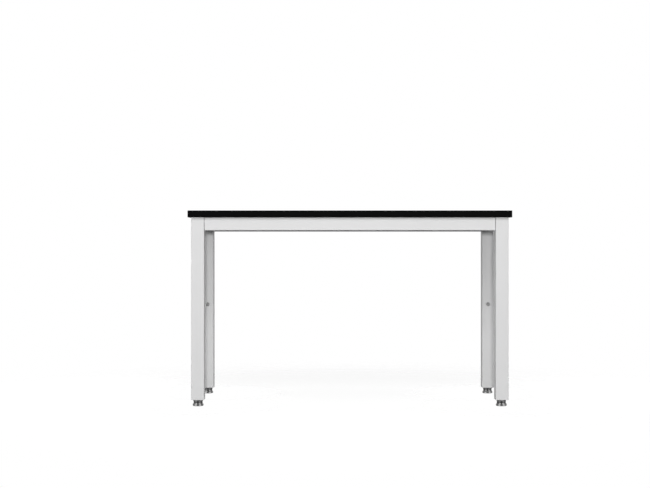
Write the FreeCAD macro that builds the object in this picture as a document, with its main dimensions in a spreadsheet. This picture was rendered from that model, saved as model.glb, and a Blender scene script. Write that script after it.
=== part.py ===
"""Free-standing laboratory bench: a thick worktop on a square-tube frame with four screw-in feet.

Millimetres, +Z up. The origin is on the floor, under the middle of the bench. The front faces -Y.
"""
import FreeCAD, Part
import math
import os
import re
import Sketcher
from FreeCAD import Placement, Rotation, Vector

# Driving dimensions: alias, value, what it measures.
SIZES = [
    ("bench_length", 1500, "worktop, left to right"),
    ("bench_depth", 600, "worktop, front to back"),
    ("top_thickness", 32, "worktop slab"),
    ("top_edge_round", 2, "eased edges of the slab"),
    ("top_overhang", 15, "slab beyond the frame, all round"),
    ("leg_width", 60, "square leg tube, outside"),
    ("leg_wall", 2, "leg tube wall"),
    ("leg_corner", 4, "leg tube outside corner radius"),
    ("leg_length", 845, "leg tube, end to end"),
    ("apron_height", 60, "apron tube, top to bottom"),
    ("apron_thickness", 30, "apron tube, outside to inside"),
    ("apron_wall", 2, "apron tube wall"),
    ("apron_corner", 3, "apron tube outside corner radius"),
    ("apron_short", 2, "gap between a long apron's end and its leg"),
    ("slip_gap", 0.2, "clearance round a plate or bush in its hole"),
    ("cap_thickness", 3, "plate that closes a leg's top"),
    ("end_plate_thickness", 5, "plate welded into a leg's foot"),
    ("bracket_wall", 4, "angle bracket, metal thickness"),
    ("bracket_bend", 3, "angle bracket, inside bend radius"),
    ("bracket_reach", 40, "angle bracket, along the apron"),
    ("bracket_inset", 2, "bracket edge short of the leg's inner face"),
    ("bracket_height", 50, "angle bracket, top to bottom"),
    ("bracket_drop", 5, "bracket below the frame's top"),
    ("bolt_spacing", 26, "two bolts of one bracket"),
    ("bolt_shank", 8, "frame bolt"),
    ("bolt_length", 20, "frame bolt, under its head"),
    ("bolt_flats", 13, "frame bolt head, across flats"),
    ("bolt_head", 5.3, "frame bolt head, height"),
    ("washer_width", 16, "frame bolt washer"),
    ("washer_thickness", 1.6, "all washers"),
    ("hole_gap", 0.5, "clearance round a bolt in a plate"),
    ("thread_gap", 0.05, "clearance round a thread or a pressed-in nut"),
    ("rivet_nut_width", 11, "blind nut in a tube wall"),
    ("rivet_nut_length", 16, "blind nut, end to end"),
    ("lug_length", 40, "worktop lug, along the apron"),
    ("lug_reach", 30, "worktop lug, out from the apron"),
    ("lug_wall", 4, "worktop lug, metal thickness"),
    ("lug_pitch", 500, "one worktop lug to the next"),
    ("top_screw_shank", 6, "worktop screw"),
    ("top_screw_length", 18, "worktop screw, under its head"),
    ("top_screw_flats", 10, "worktop screw head, across flats"),
    ("top_screw_head", 4, "worktop screw head, height"),
    ("top_washer_width", 12, "worktop screw washer"),
    ("insert_width", 10, "threaded insert in the worktop"),
    ("insert_length", 14, "threaded insert, end to end"),
    ("insert_spare", 2, "hole in the worktop, beyond the insert"),
    ("rail_fixing_height", 449, "accessory screws in the rear legs, above the floor"),
    ("rail_screw_length", 16, "accessory screw, under its head"),
    ("rail_head_width", 14, "accessory screw button head"),
    ("rail_head_top", 8, "flat on top of the button head"),
    ("rail_head_rim", 1.4, "straight rim of the button head"),
    ("rail_head", 4.4, "button head, height"),
    ("rail_socket_flats", 5, "hexagon socket in the button head"),
    ("rail_socket_depth", 2.6, "hexagon socket, depth"),
    ("rail_washer_width", 20, "accessory screw washer"),
    ("bush_top_width", 48, "threaded bush, cone at the leg"),
    ("bush_low_width", 42.5, "threaded bush, cone at the foot"),
    ("bush_height", 9, "threaded bush, cone height"),
    ("bush_spigot_width", 22, "threaded bush, part inside the leg"),
    ("bush_spigot_length", 22, "threaded bush, inside the leg"),
    ("bush_edge_round", 0.8, "threaded bush, outer edges"),
    ("recess_gap", 0.5, "clearance round the stud's hexagon in the bush"),
    ("foot_gap", 0.3, "foot below the bush when screwed right in"),
    ("stud_thread", 12, "levelling stud"),
    ("stud_reach", 50, "levelling stud, above its hexagon"),
    ("stud_flats", 17, "stud hexagon, across flats"),
    ("stud_hexagon", 7.2, "stud hexagon, height"),
    ("stud_tip", 1.5, "bevel at the stud's top end"),
    ("journal_width", 10, "stud neck that turns in the foot"),
    ("rivet_head_width", 14, "stud's riveted end under the foot"),
    ("rivet_head", 2, "stud's riveted end, height"),
    ("running_gap", 0.05, "radial clearance of the stud in bush and foot"),
    ("turn_gap", 0.1, "end clearance of the stud in the foot"),
    ("base_height", 19.2, "metal foot, rim to top"),
    ("base_neck_width", 42.5, "metal foot, neck"),
    ("base_neck_height", 5.4, "metal foot, neck above the flare"),
    ("base_neck_round", 7, "hollow curve between neck and flare"),
    ("base_rim_width", 50.6, "metal foot, rim"),
    ("base_rim_height", 6.4, "metal foot, rim below the flare"),
    ("base_rim_round", 3, "curve between flare and rim"),
    ("base_edge_round", 1, "top and bottom edges of the metal foot"),
    ("base_web", 8.7, "metal foot, solid part under its top"),
    ("base_hollow_width", 40, "hollow underside of the metal foot"),
    ("pad_stand", 1.5, "rubber pad below the metal foot"),
    ("pad_width", 47, "rubber pad on the floor"),
    ("pad_edge_round", 1, "rubber pad, bottom edge"),
    ("pad_spare", 0.5, "rubber pad below the stud's riveted end"),
]
ALIASES = {alias for alias, _, _ in SIZES}

# Sizes and places that follow from the driving dimensions.
DERIVED = {
    "leg_x": "bench_length / 2 - top_overhang - leg_width / 2",
    "leg_y": "bench_depth / 2 - top_overhang - leg_width / 2",
    "leg_face_x": "leg_x - leg_width / 2",
    "leg_face_y": "leg_y - leg_width / 2",
    "leg_bore": "leg_width - 2 * leg_wall",
    "leg_bore_corner": "leg_corner - leg_wall",
    "leg_bottom": "bush_bottom + bush_height",
    "leg_top": "leg_bottom + leg_length",
    "apron_x": "bench_length / 2 - top_overhang - apron_thickness / 2",
    "apron_y": "bench_depth / 2 - top_overhang - apron_thickness / 2",
    "apron_z": "leg_top - apron_height / 2",
    "apron_face_y": "apron_y - apron_thickness / 2",
    "long_apron_end": "leg_face_x - apron_short",
    "plate_width": "leg_bore - 2 * slip_gap",
    "bracket_width": "leg_width - apron_thickness - bracket_inset",
    "bracket_z": "leg_top - bracket_drop - bracket_height / 2",
    "bolt_offset": "(bracket_wall + bracket_width) / 2",
    "bolt_y": "apron_face_y - bolt_offset",
    "bolt_hole": "bolt_shank + 2 * hole_gap",
    "nut_hole": "rivet_nut_width + 2 * thread_gap",
    "nut_bore": "bolt_shank + 2 * thread_gap",
    "lug_hole": "top_screw_shank + 2 * hole_gap",
    "insert_y": "apron_face_y - lug_reach / 2",
    "insert_hole": "insert_width + 2 * thread_gap",
    "insert_bore": "top_screw_shank + 2 * thread_gap",
    "base_bottom": "pad_stand",
    "base_top": "base_bottom + base_height",
    "bush_bottom": "base_top + foot_gap",
    "stud_hexagon_width": "stud_flats / cos(30)",
    "recess_radius": "stud_hexagon_width / 2 + recess_gap",
    "recess_depth": "turn_gap + stud_hexagon",
    "bush_bore_radius": "stud_thread / 2 + running_gap",
    "journal_length": "base_web + 2 * turn_gap",
    "stud_bottom": "base_top - base_web - turn_gap - rivet_head",
    "stud_length": "rivet_head + journal_length + stud_hexagon + stud_reach",
    "hollow_height": "base_height - base_web",
    "pad_height": "stud_bottom - pad_spare",
}

CORNERS = {
    "front_left": (-1, -1),
    "front_right": (1, -1),
    "rear_left": (-1, 1),
    "rear_right": (1, 1),
}
HALF_TURN = 180
QUARTER_TURN = 90
HEX_SIDES = 6
UP, ALONG_X, ALONG_Y = Vector(0, 0, 1), Vector(1, 0, 0), Vector(0, 1, 0)
NO_TURN = Rotation()
CLOSE = 1e-6

DOC = FreeCAD.newDocument("LabBench")
SHEET = DOC.addObject("Spreadsheet::Sheet", "Sizes")


def fill_sheet():
    """Write the driving dimensions into the sheet, one row each."""
    for row, (alias, number, meaning) in enumerate(SIZES, 1):
        SHEET.set(f"A{row}", alias.replace("_", " "))
        SHEET.set(f"B{row}", str(number))
        SHEET.setAlias(f"B{row}", alias)
        SHEET.set(f"C{row}", meaning)
    DOC.recompute()


def bind(text):
    """Turn the sheet's names and the derived names in a formula into an expression."""
    def swap(word):
        name = word.group(0)
        if name in ALIASES:
            return f"Sizes.{name}"
        return f"({bind(DERIVED[name])})" if name in DERIVED else name
    return re.sub(r"[a-z][a-z_]*", swap, str(text))


def value(text):
    """The present number of a formula."""
    return float(SHEET.evalExpression(bind(text)))


def place(thing, x, y, z):
    """Bind a thing's place to three formulas."""
    for axis, text in (("x", x), ("y", y), ("z", z)):
        thing.setExpression(f"Placement.Base.{axis}", bind(text))


# Sketches


def sketch_on(body, plane, name, lift=None):
    """A sketch on one of the body's own origin planes, lifted off it where asked."""
    sketch = body.newObject("Sketcher::SketchObject", f"{body.Name}_{name}")
    origin_plane = next(part for part in body.Origin.OriginFeatures if part.Role == plane)
    sketch.AttachmentSupport = (origin_plane, [""])
    sketch.MapMode = "FlatFace"
    if lift is not None:
        sketch.setExpression("AttachmentOffset.Base.z", bind(lift))
    return sketch


def dimension(sketch, name, text, kind, *where):
    """Add one dimension to the sketch and bind it to a formula."""
    index = sketch.addConstraint(Sketcher.Constraint(kind, *where, value(text)))
    sketch.renameConstraint(index, name)
    sketch.setExpression(f".Constraints.{name}", bind(text))


def pin_point(sketch, name, line, end, across, up):
    """Hold one end of a line, or a circle's centre, at a place from the sketch's origin."""
    dimension(sketch, f"{name}_across", across, "DistanceX", -1, 1, line, end)
    dimension(sketch, f"{name}_up", up, "DistanceY", -1, 1, line, end)


def outline(sketch, points):
    """A closed outline of straight lines through points given as pairs of formulas."""
    corners = [Vector(value(across), value(up), 0) for across, up in points]
    count = len(corners)
    lines = [Part.LineSegment(corners[i], corners[(i + 1) % count]) for i in range(count)]
    first = sketch.addGeometry(lines, False)[0]
    for i, (across, up) in enumerate(points):
        line = first + i
        after = first + (i + 1) % count
        sketch.addConstraint(Sketcher.Constraint("Coincident", line, 2, after, 1))
        pin_point(sketch, f"corner_{i}", line, 1, across, up)


def rounded_box(sketch, name, width, depth, radius):
    """A centred rectangle with four equal round corners."""
    x, y, r = value(width) / 2, value(depth) / 2, value(radius)
    quarter = math.radians(QUARTER_TURN)
    shape = []
    for step, (side_x, side_y) in enumerate([(1, 1), (-1, 1), (-1, -1), (1, -1)]):
        centre = Vector(side_x * (x - r), side_y * (y - r), 0)
        corner = Part.Circle(centre, UP, r)
        shape.append(Part.ArcOfCircle(corner, step * quarter, (step + 1) * quarter))
    arcs = sketch.addGeometry(shape, False)
    ends = [(arc.EndPoint, shape[(i + 1) % 4].StartPoint) for i, arc in enumerate(shape)]
    lines = sketch.addGeometry([Part.LineSegment(a, b) for a, b in ends], False)
    for i in range(4):
        after = arcs[(i + 1) % 4]
        sketch.addConstraint(Sketcher.Constraint("Tangent", arcs[i], 2, lines[i], 1))
        sketch.addConstraint(Sketcher.Constraint("Tangent", lines[i], 2, after, 1))
        sketch.addConstraint(Sketcher.Constraint("Horizontal" if i % 2 == 0 else "Vertical", lines[i]))
    for arc in arcs[1:]:
        sketch.addConstraint(Sketcher.Constraint("Equal", arcs[0], arc))
    top, left, bottom, right = lines
    dimension(sketch, f"{name}_radius", radius, "Radius", arcs[0])
    dimension(sketch, f"{name}_width", width, "DistanceX", left, 1, right, 1)
    dimension(sketch, f"{name}_depth", depth, "DistanceY", bottom, 1, top, 1)
    dimension(sketch, f"{name}_half_width", f"({width}) / 2", "DistanceX", -1, 1, right, 1)
    dimension(sketch, f"{name}_half_depth", f"({depth}) / 2", "DistanceY", -1, 1, top, 1)


def circle(sketch, name, diameter, across="0", up="0"):
    """A circle of a given diameter at a place from the sketch's origin."""
    round_line = Part.Circle(Vector(value(across), value(up), 0), UP, value(diameter) / 2)
    index = sketch.addGeometry(round_line, False)
    pin_point(sketch, name, index, 3, across, up)
    dimension(sketch, f"{name}_diameter", diameter, "Diameter", index)


def hexagon(sketch, flats):
    """A centred hexagon with a point on the sketch's first axis."""
    reach = f"({flats}) / 2 / cos({HALF_TURN} / {HEX_SIDES})"
    angles = [f"{step} * 2 * {HALF_TURN} / {HEX_SIDES}" for step in range(HEX_SIDES)]
    outline(sketch, [(f"{reach} * cos({angle})", f"{reach} * sin({angle})") for angle in angles])


# Features


def new_body(label):
    """An empty body; its label names the sub-part."""
    return DOC.addObject("PartDesign::Body", label)


def pad(body, sketch, length, reverse=False):
    """Raise a sketch by a length."""
    feature = body.newObject("PartDesign::Pad", f"{sketch.Name}_pad")
    feature.Profile = sketch
    feature.Reversed = reverse
    feature.setExpression("Length", bind(length))
    DOC.recompute()


def pocket(body, sketch, depth, reverse=False):
    """Cut a sketch into the body by a depth, and make sure that it takes metal away."""
    before = body.Shape.Volume
    feature = body.newObject("PartDesign::Pocket", f"{sketch.Name}_cut")
    feature.Profile = sketch
    feature.Reversed = reverse
    feature.setExpression("Length", bind(depth))
    DOC.recompute()
    if body.Shape.Volume > before - CLOSE:
        raise ValueError(f"{feature.Name} cuts nothing")


def turn(body, points):
    """Spin an outline, given as radius and height, about the body's upright axis."""
    sketch = sketch_on(body, "XZ_Plane", "profile")
    outline(sketch, points)
    feature = body.newObject("PartDesign::Revolution", f"{body.Name}_turned")
    feature.Profile = sketch
    feature.ReferenceAxis = (sketch, ["V_Axis"])
    DOC.recompute()


def round_edges(body, name, radius, chosen):
    """Round those edges of the body's latest feature that a test picks."""
    latest = body.Tip
    names = [f"Edge{number}" for number, edge in enumerate(latest.Shape.Edges, 1) if chosen(edge)]
    feature = body.newObject("PartDesign::Fillet", f"{body.Name}_{name}")
    feature.Base = (latest, names)
    feature.setExpression("Radius", bind(radius))
    DOC.recompute()


def rim_at(radius, height):
    """A test for the round edge of a given radius and height."""
    def chosen(edge):
        if not isinstance(edge.Curve, Part.Circle):
            return False
        same_height = abs(edge.Curve.Center.z - value(height)) < CLOSE
        return same_height and abs(edge.Curve.Radius - value(radius)) < CLOSE
    return chosen


def upright_at(x, y):
    """A test for the straight upright edge at a given place."""
    def chosen(edge):
        low, high = edge.Vertexes[0].Point, edge.Vertexes[-1].Point
        upright = abs(low.x - high.x) < CLOSE and abs(low.y - high.y) < CLOSE
        return upright and abs(low.x - value(x)) < CLOSE and abs(low.y - value(y)) < CLOSE
    return chosen


def group(label, master, places):
    """Copies of one small piece as one sub-part: each place is x, y, z and a rotation."""
    copies = []
    for number, (x, y, z, rotation) in enumerate(places, 1):
        copy = DOC.addObject("App::Link", f"{label}_{number}")
        copy.LinkedObject = master
        copy.Placement = Placement(Vector(), rotation)
        place(copy, x, y, z)
        copies.append(copy)
    compound = DOC.addObject("Part::Compound", label)
    compound.Links = copies
    return compound


# Worktop and frame


def make_worktop():
    """The slab, with eased edges and a blind hole under it for each threaded insert."""
    body = new_body("worktop")
    slab = sketch_on(body, "XY_Plane", "slab")
    half_x, half_y = "bench_length / 2", "bench_depth / 2"
    outline(slab, [(f"-({half_x})", f"-({half_y})"), (half_x, f"-({half_y})"),
                   (half_x, half_y), (f"-({half_x})", half_y)])
    pad(body, slab, "top_thickness")
    round_edges(body, "eased", "top_edge_round", lambda edge: True)
    holes = sketch_on(body, "XY_Plane", "insert_holes")
    for number, (x, y) in enumerate(fixing_points()):
        circle(holes, f"hole_{number}", "insert_hole", x, y)
    pocket(body, holes, "insert_length + insert_spare", reverse=True)
    place(body, "0", "0", "leg_top")
    return body


def make_leg(corner):
    """A square tube with holes for the blind nuts in the walls that carry them."""
    side_x, side_y = CORNERS[corner]
    body = new_body(f"leg_{corner}")
    section = sketch_on(body, "XY_Plane", "section")
    rounded_box(section, "outside", "leg_width", "leg_width", "leg_corner")
    rounded_box(section, "inside", "leg_bore", "leg_bore", "leg_bore_corner")
    pad(body, section, "leg_length")
    bolt_holes = sketch_on(body, "YZ_Plane", "bolt_holes")
    for number, level in enumerate((-1, 1)):
        up = f"bracket_z - leg_bottom + {level} * bolt_spacing / 2"
        circle(bolt_holes, f"hole_{number}", "nut_hole", f"{side_y} * (bolt_y - leg_y)", up)
    pocket(body, bolt_holes, "leg_width / 2", reverse=side_x < 0)
    if side_y > 0:
        rail_hole = sketch_on(body, "XZ_Plane", "rail_hole")
        circle(rail_hole, "hole", "nut_hole", "0", "rail_fixing_height - leg_bottom")
        pocket(body, rail_hole, "leg_width / 2", reverse=True)
    place(body, f"{side_x} * leg_x", f"{side_y} * leg_y", "leg_bottom")
    return body


def make_long_apron(label, side_y):
    """A tube between two legs of the front or the rear, flush with their outer faces and held by brackets."""
    body = new_body(label)
    section = sketch_on(body, "YZ_Plane", "section")
    apron_section(section, "apron_thickness", "apron_height")
    pad(body, section, "2 * long_apron_end")
    place(body, "-long_apron_end", f"{side_y} * apron_y", "apron_z")
    return body


def make_side_apron(label, side_x):
    """A tube between the front and the rear leg of one end."""
    body = new_body(label)
    section = sketch_on(body, "XZ_Plane", "section")
    apron_section(section, "apron_thickness", "apron_height")
    pad(body, section, "2 * leg_face_y", reverse=True)
    place(body, f"{side_x} * apron_x", "-leg_face_y", "apron_z")
    return body


def apron_section(sketch, width, height):
    """The hollow section of an apron tube."""
    rounded_box(sketch, "outside", width, height, "apron_corner")
    rounded_box(sketch, "inside", f"{width} - 2 * apron_wall", f"{height} - 2 * apron_wall",
                "apron_corner - apron_wall")


def make_leg_caps():
    """The plates that close the legs' tops, flush with the frame."""
    master = new_body("one_leg_cap")
    plate = sketch_on(master, "XY_Plane", "plate")
    rounded_box(plate, "edge", "plate_width", "plate_width", "leg_bore_corner")
    pad(master, plate, "cap_thickness")
    places = [(f"{x} * leg_x", f"{y} * leg_y", "leg_top - cap_thickness", NO_TURN)
              for x, y in CORNERS.values()]
    return group("leg_caps", master, places)


# Brackets and their bolts


def bolt_places(out):
    """Where the frame bolts sit, a distance out from the leg's face, pointing into the bench."""
    places = []
    for side_x, side_y in CORNERS.values():
        rotation = Rotation(ALONG_Y, -side_x * QUARTER_TURN)
        for level in (-1, 1):
            x = f"{side_x} * (leg_face_x - ({out}))"
            z = f"bracket_z + {level} * bolt_spacing / 2"
            places.append((x, f"{side_y} * bolt_y", z, rotation))
    return places


def make_brackets():
    """Angle brackets welded inside the long aprons' ends, flat against the legs."""
    master = new_body("one_bracket")
    angle = sketch_on(master, "XY_Plane", "angle", "-bracket_height / 2")
    outline(angle, [("0", "0"), ("bracket_reach", "0"), ("bracket_reach", "bracket_wall"),
                    ("bracket_wall", "bracket_wall"), ("bracket_wall", "bracket_width"),
                    ("0", "bracket_width")])
    pad(master, angle, "bracket_height")
    round_edges(master, "inner_bend", "bracket_bend", upright_at("bracket_wall", "bracket_wall"))
    round_edges(master, "outer_bend", "bracket_bend + bracket_wall", upright_at("0", "0"))
    holes = sketch_on(master, "YZ_Plane", "holes")
    for number, level in enumerate((-1, 1)):
        circle(holes, f"hole_{number}", "bolt_hole", "bolt_offset", f"{level} * bolt_spacing / 2")
    pocket(master, holes, "bracket_wall", reverse=True)
    turns = [NO_TURN, Rotation(ALONG_Y, HALF_TURN), Rotation(ALONG_X, HALF_TURN), Rotation(UP, HALF_TURN)]
    places = [(f"{x} * leg_face_x", f"{y} * apron_face_y", "bracket_z", rotation)
              for (x, y), rotation in zip(CORNERS.values(), turns)]
    return group("apron_brackets", master, places)


def make_bolt(label, shank, length, flats, head):
    """A hexagon bolt: its head above the origin, its shank below."""
    body = new_body(label)
    top = sketch_on(body, "XY_Plane", "head")
    hexagon(top, flats)
    pad(body, top, head)
    stem = sketch_on(body, "XY_Plane", "shank")
    circle(stem, "shank", shank)
    pad(body, stem, length, reverse=True)
    return body


def make_ring(label, width, bore, length, reverse=False):
    """A washer or a plain bush, above the origin or below it."""
    body = new_body(label)
    face = sketch_on(body, "XY_Plane", "face")
    circle(face, "outside", width)
    circle(face, "bore", bore)
    pad(body, face, length, reverse)
    return body


def make_frame_fasteners():
    """Bolts, washers and blind nuts between the brackets and the legs."""
    bolt = make_bolt("one_frame_bolt", "bolt_shank", "bolt_length", "bolt_flats", "bolt_head")
    washer = make_ring("one_frame_washer", "washer_width", "bolt_hole", "washer_thickness")
    nut = make_ring("one_rivet_nut", "rivet_nut_width", "nut_bore", "rivet_nut_length", reverse=True)
    return [group("frame_bolts", bolt, bolt_places("bracket_wall + washer_thickness")),
            group("frame_washers", washer, bolt_places("bracket_wall")),
            group("frame_rivet_nuts", nut, bolt_places("0")),
            group("rail_rivet_nuts", nut, rail_places("0"))]


# Worktop fixings


def fixing_points():
    """The six places where the worktop is screwed down, as pairs of formulas."""
    return [(f"{step} * lug_pitch", f"{side} * insert_y") for side in (-1, 1) for step in (-1, 0, 1)]


def make_lugs():
    """Flat lugs welded inside the long aprons, flush with the frame's top."""
    master = new_body("one_lug")
    plate = sketch_on(master, "XY_Plane", "plate")
    half = "lug_length / 2"
    outline(plate, [(f"-({half})", "0"), (half, "0"), (half, "lug_reach"), (f"-({half})", "lug_reach")])
    circle(plate, "hole", "lug_hole", "0", "lug_reach / 2")
    pad(master, plate, "lug_wall")
    places = []
    for side, rotation in ((-1, NO_TURN), (1, Rotation(UP, HALF_TURN))):
        for step in (-1, 0, 1):
            places.append((f"{step} * lug_pitch", f"{side} * apron_face_y", "leg_top - lug_wall", rotation))
    return group("worktop_lugs", master, places)


def make_top_fasteners():
    """Screws and washers under the lugs, and the threaded inserts in the worktop."""
    screw = make_bolt("one_top_screw", "top_screw_shank", "top_screw_length",
                      "top_screw_flats", "top_screw_head")
    washer = make_ring("one_top_washer", "top_washer_width", "lug_hole", "washer_thickness")
    insert = make_ring("one_insert", "insert_width", "insert_bore", "insert_length")
    head_down = Rotation(ALONG_X, HALF_TURN)
    levels = [("worktop_screws", screw, "leg_top - lug_wall - washer_thickness", head_down),
              ("worktop_washers", washer, "leg_top - lug_wall - washer_thickness", NO_TURN),
              ("worktop_inserts", insert, "leg_top", NO_TURN)]
    return [group(label, master, [(x, y, z, rotation) for x, y in fixing_points()])
            for label, master, z, rotation in levels]


# Accessory fixing points of the rear legs


def rail_places(out):
    """The front faces of the two rear legs, a distance out, pointing forwards."""
    rotation = Rotation(ALONG_X, QUARTER_TURN)
    return [(f"{side} * leg_x", f"leg_face_y - ({out})", "rail_fixing_height", rotation)
            for side in (-1, 1)]


def make_rail_fasteners():
    """Button-head screws and washers that close the fixing points."""
    screw = new_body("one_rail_screw")
    turn(screw, [("0", "-rail_screw_length"), ("bolt_shank / 2", "-rail_screw_length"),
                 ("bolt_shank / 2", "0"), ("rail_head_width / 2", "0"),
                 ("rail_head_width / 2", "rail_head_rim"), ("rail_head_top / 2", "rail_head"),
                 ("0", "rail_head")])
    socket = sketch_on(screw, "XY_Plane", "socket", "rail_head")
    hexagon(socket, "rail_socket_flats")
    pocket(screw, socket, "rail_socket_depth")
    washer = make_ring("one_rail_washer", "rail_washer_width", "bolt_hole", "washer_thickness")
    return [group("rail_screws", screw, rail_places("washer_thickness")),
            group("rail_washers", washer, rail_places("0"))]


# Levelling feet


def foot_place(body, corner, height):
    """Put a piece on the upright axis of one leg."""
    side_x, side_y = CORNERS[corner]
    place(body, f"{side_x} * leg_x", f"{side_y} * leg_y", height)


def make_end_plate(corner):
    """The plate welded flush into the leg's lower end."""
    body = new_body(f"end_plate_{corner}")
    plate = sketch_on(body, "XY_Plane", "plate")
    rounded_box(plate, "edge", "plate_width", "plate_width", "leg_bore_corner")
    circle(plate, "hole", "bush_spigot_width + 2 * slip_gap")
    pad(body, plate, "end_plate_thickness")
    foot_place(body, corner, "leg_bottom")
    return body


def make_thread_bush(corner):
    """The threaded bush: a cone under the leg, a spigot in it, and a recess for the hexagon."""
    body = new_body(f"thread_bush_{corner}")
    top = "bush_height + bush_spigot_length"
    turn(body, [("recess_radius", "0"), ("bush_low_width / 2", "0"),
                ("bush_top_width / 2", "bush_height"), ("bush_spigot_width / 2", "bush_height"),
                ("bush_spigot_width / 2", top), ("bush_bore_radius", top),
                ("bush_bore_radius", "recess_depth"), ("recess_radius", "recess_depth")])
    round_edges(body, "low_edge", "bush_edge_round", rim_at("bush_low_width / 2", "0"))
    round_edges(body, "top_edge", "bush_edge_round", rim_at("bush_top_width / 2", "bush_height"))
    foot_place(body, corner, "bush_bottom")
    return body


def make_stud(corner):
    """The levelling stud: riveted end, neck, hexagon and threaded shank."""
    body = new_body(f"foot_stud_{corner}")
    seat = "rivet_head + journal_length"
    turn(body, [("0", "0"), ("rivet_head_width / 2", "0"), ("rivet_head_width / 2", "rivet_head"),
                ("journal_width / 2", "rivet_head"), ("journal_width / 2", seat),
                ("stud_thread / 2", seat), ("stud_thread / 2", "stud_length - stud_tip"),
                ("stud_thread / 2 - stud_tip", "stud_length"), ("0", "stud_length")])
    flats = sketch_on(body, "XY_Plane", "hexagon", seat)
    hexagon(flats, "stud_flats")
    pad(body, flats, "stud_hexagon")
    foot_place(body, corner, "stud_bottom")
    return body


def make_foot_base(corner):
    """The turned metal foot: neck, flare and rim, hollow below, bored for the stud's neck."""
    body = new_body(f"foot_base_{corner}")
    neck, rim, bore = "base_neck_width / 2", "base_rim_width / 2", "journal_width / 2 + running_gap"
    flare_top = "base_height - base_neck_height"
    turn(body, [("base_hollow_width / 2", "0"), (rim, "0"), (rim, "base_rim_height"),
                (neck, flare_top), (neck, "base_height"), (bore, "base_height"),
                (bore, "hollow_height"), ("base_hollow_width / 2", "hollow_height")])
    round_edges(body, "neck", "base_neck_round", rim_at(neck, flare_top))
    round_edges(body, "shoulder", "base_rim_round", rim_at(rim, "base_rim_height"))
    round_edges(body, "bottom_edge", "base_edge_round", rim_at(rim, "0"))
    round_edges(body, "top_edge", "base_edge_round", rim_at(neck, "base_height"))
    foot_place(body, corner, "base_bottom")
    return body


def make_foot_pad(corner):
    """The rubber pad: a disc on the floor, stepped into the metal foot's hollow."""
    body = new_body(f"foot_pad_{corner}")
    plug = "base_hollow_width / 2 - slip_gap"
    turn(body, [("0", "0"), ("pad_width / 2", "0"), ("pad_width / 2", "pad_stand"),
                (plug, "pad_stand"), (plug, "pad_height"), ("0", "pad_height")])
    round_edges(body, "edge", "pad_edge_round", rim_at("pad_width / 2", "0"))
    foot_place(body, corner, "0")
    return body


def make_parts():
    """Build every sub-part of the bench, in order of assembly."""
    parts = [make_worktop()]
    parts += [make_leg(corner) for corner in CORNERS]
    parts += [make_long_apron("front_apron", -1), make_long_apron("rear_apron", 1)]
    parts += [make_side_apron("left_apron", -1), make_side_apron("right_apron", 1)]
    parts += [make_leg_caps(), make_brackets(), make_lugs()]
    parts += make_frame_fasteners() + make_top_fasteners() + make_rail_fasteners()
    for corner in CORNERS:
        parts += [make_end_plate(corner), make_thread_bush(corner), make_stud(corner)]
        parts += [make_foot_base(corner), make_foot_pad(corner)]
    return parts


def check(parts):
    """Stop if anything in the document failed or a sub-part has no sound shape."""
    for thing in DOC.Objects:
        if "Invalid" in thing.State or "Error" in thing.State:
            raise ValueError(f"{thing.Label} did not recompute: {thing.State}")
    for part in parts:
        if part.Shape.isNull() or not part.Shape.isValid():
            raise ValueError(f"{part.Label} has no valid shape")


def export(parts):
    """Write one file for each sub-part."""
    os.makedirs("parts", exist_ok=True)
    for part in parts:
        part.Shape.exportStep(f"parts/{part.Label}.step")
        print(part.Label, len(part.Shape.Solids), "solid(s)", round(part.Shape.Volume / 1000, 2), "cm3")


fill_sheet()
PARTS = make_parts()
DOC.recompute()
check(PARTS)
export(PARTS)
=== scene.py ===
"""Looks of a free-standing laboratory bench: finishes, turned feet, fasteners, weld beads and the studio."""
import logging
import math
from collections.abc import Callable, Iterable, Sequence
from dataclasses import dataclass, field
from enum import Enum

import bmesh
import bpy
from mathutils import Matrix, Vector


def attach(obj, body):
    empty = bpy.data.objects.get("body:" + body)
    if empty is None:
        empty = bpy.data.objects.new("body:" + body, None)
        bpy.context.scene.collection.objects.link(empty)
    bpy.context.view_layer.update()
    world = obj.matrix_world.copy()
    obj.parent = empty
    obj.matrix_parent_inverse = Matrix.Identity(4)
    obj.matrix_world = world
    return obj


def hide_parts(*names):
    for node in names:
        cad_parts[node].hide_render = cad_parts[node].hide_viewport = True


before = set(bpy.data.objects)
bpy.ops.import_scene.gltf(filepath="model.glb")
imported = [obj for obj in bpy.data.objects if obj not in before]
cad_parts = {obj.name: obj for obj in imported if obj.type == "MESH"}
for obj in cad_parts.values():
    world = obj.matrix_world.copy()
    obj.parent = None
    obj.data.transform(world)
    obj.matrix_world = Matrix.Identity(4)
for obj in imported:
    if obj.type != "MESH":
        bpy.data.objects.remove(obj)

LOG = logging.getLogger("bench")
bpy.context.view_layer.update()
MM = 0.001
LEG_X, LEG_Y = 705.0, 255.0
LEG_WIDTH = 60.0
FRAME_TOP = 875.0
LUG_X = (-500.0, 0.0, 500.0)
LUG_LENGTH = 38.0
LUG_UNDERSIDE = 871.0
WASHER_THICKNESS = 1.6
BOLT_CLEARANCE = 0.6
CROWN_SLOPE = 0.58
RING_MAP = "turned"
SHARP_EDGE = 32.0
HEXAGON_SHARP_EDGE = 24.0
BEAD_SHARP_EDGE = 60.0
POLE_RADIUS = 1e-6
PATTERN_SPAN = (0.3, 0.7)
MIX_FIRST, MIX_SECOND, MIX_RESULT = 6, 7, 2
RANDOM_MOST, RANDOM_RESULT = 3, 1

Colour = tuple[float, float, float]
Point = tuple[float, float]
Span = tuple[float, float]
Place = tuple[float, float, float]
Stand = tuple[Place, Place]
Corners = Sequence[tuple[float, ...]]
Outline = Callable[[float], Point]
Socket = bpy.types.NodeSocket
Inputs = bpy.types.NodeInputs
Given = dict[str, Socket]
Piece = bpy.types.Object


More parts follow.
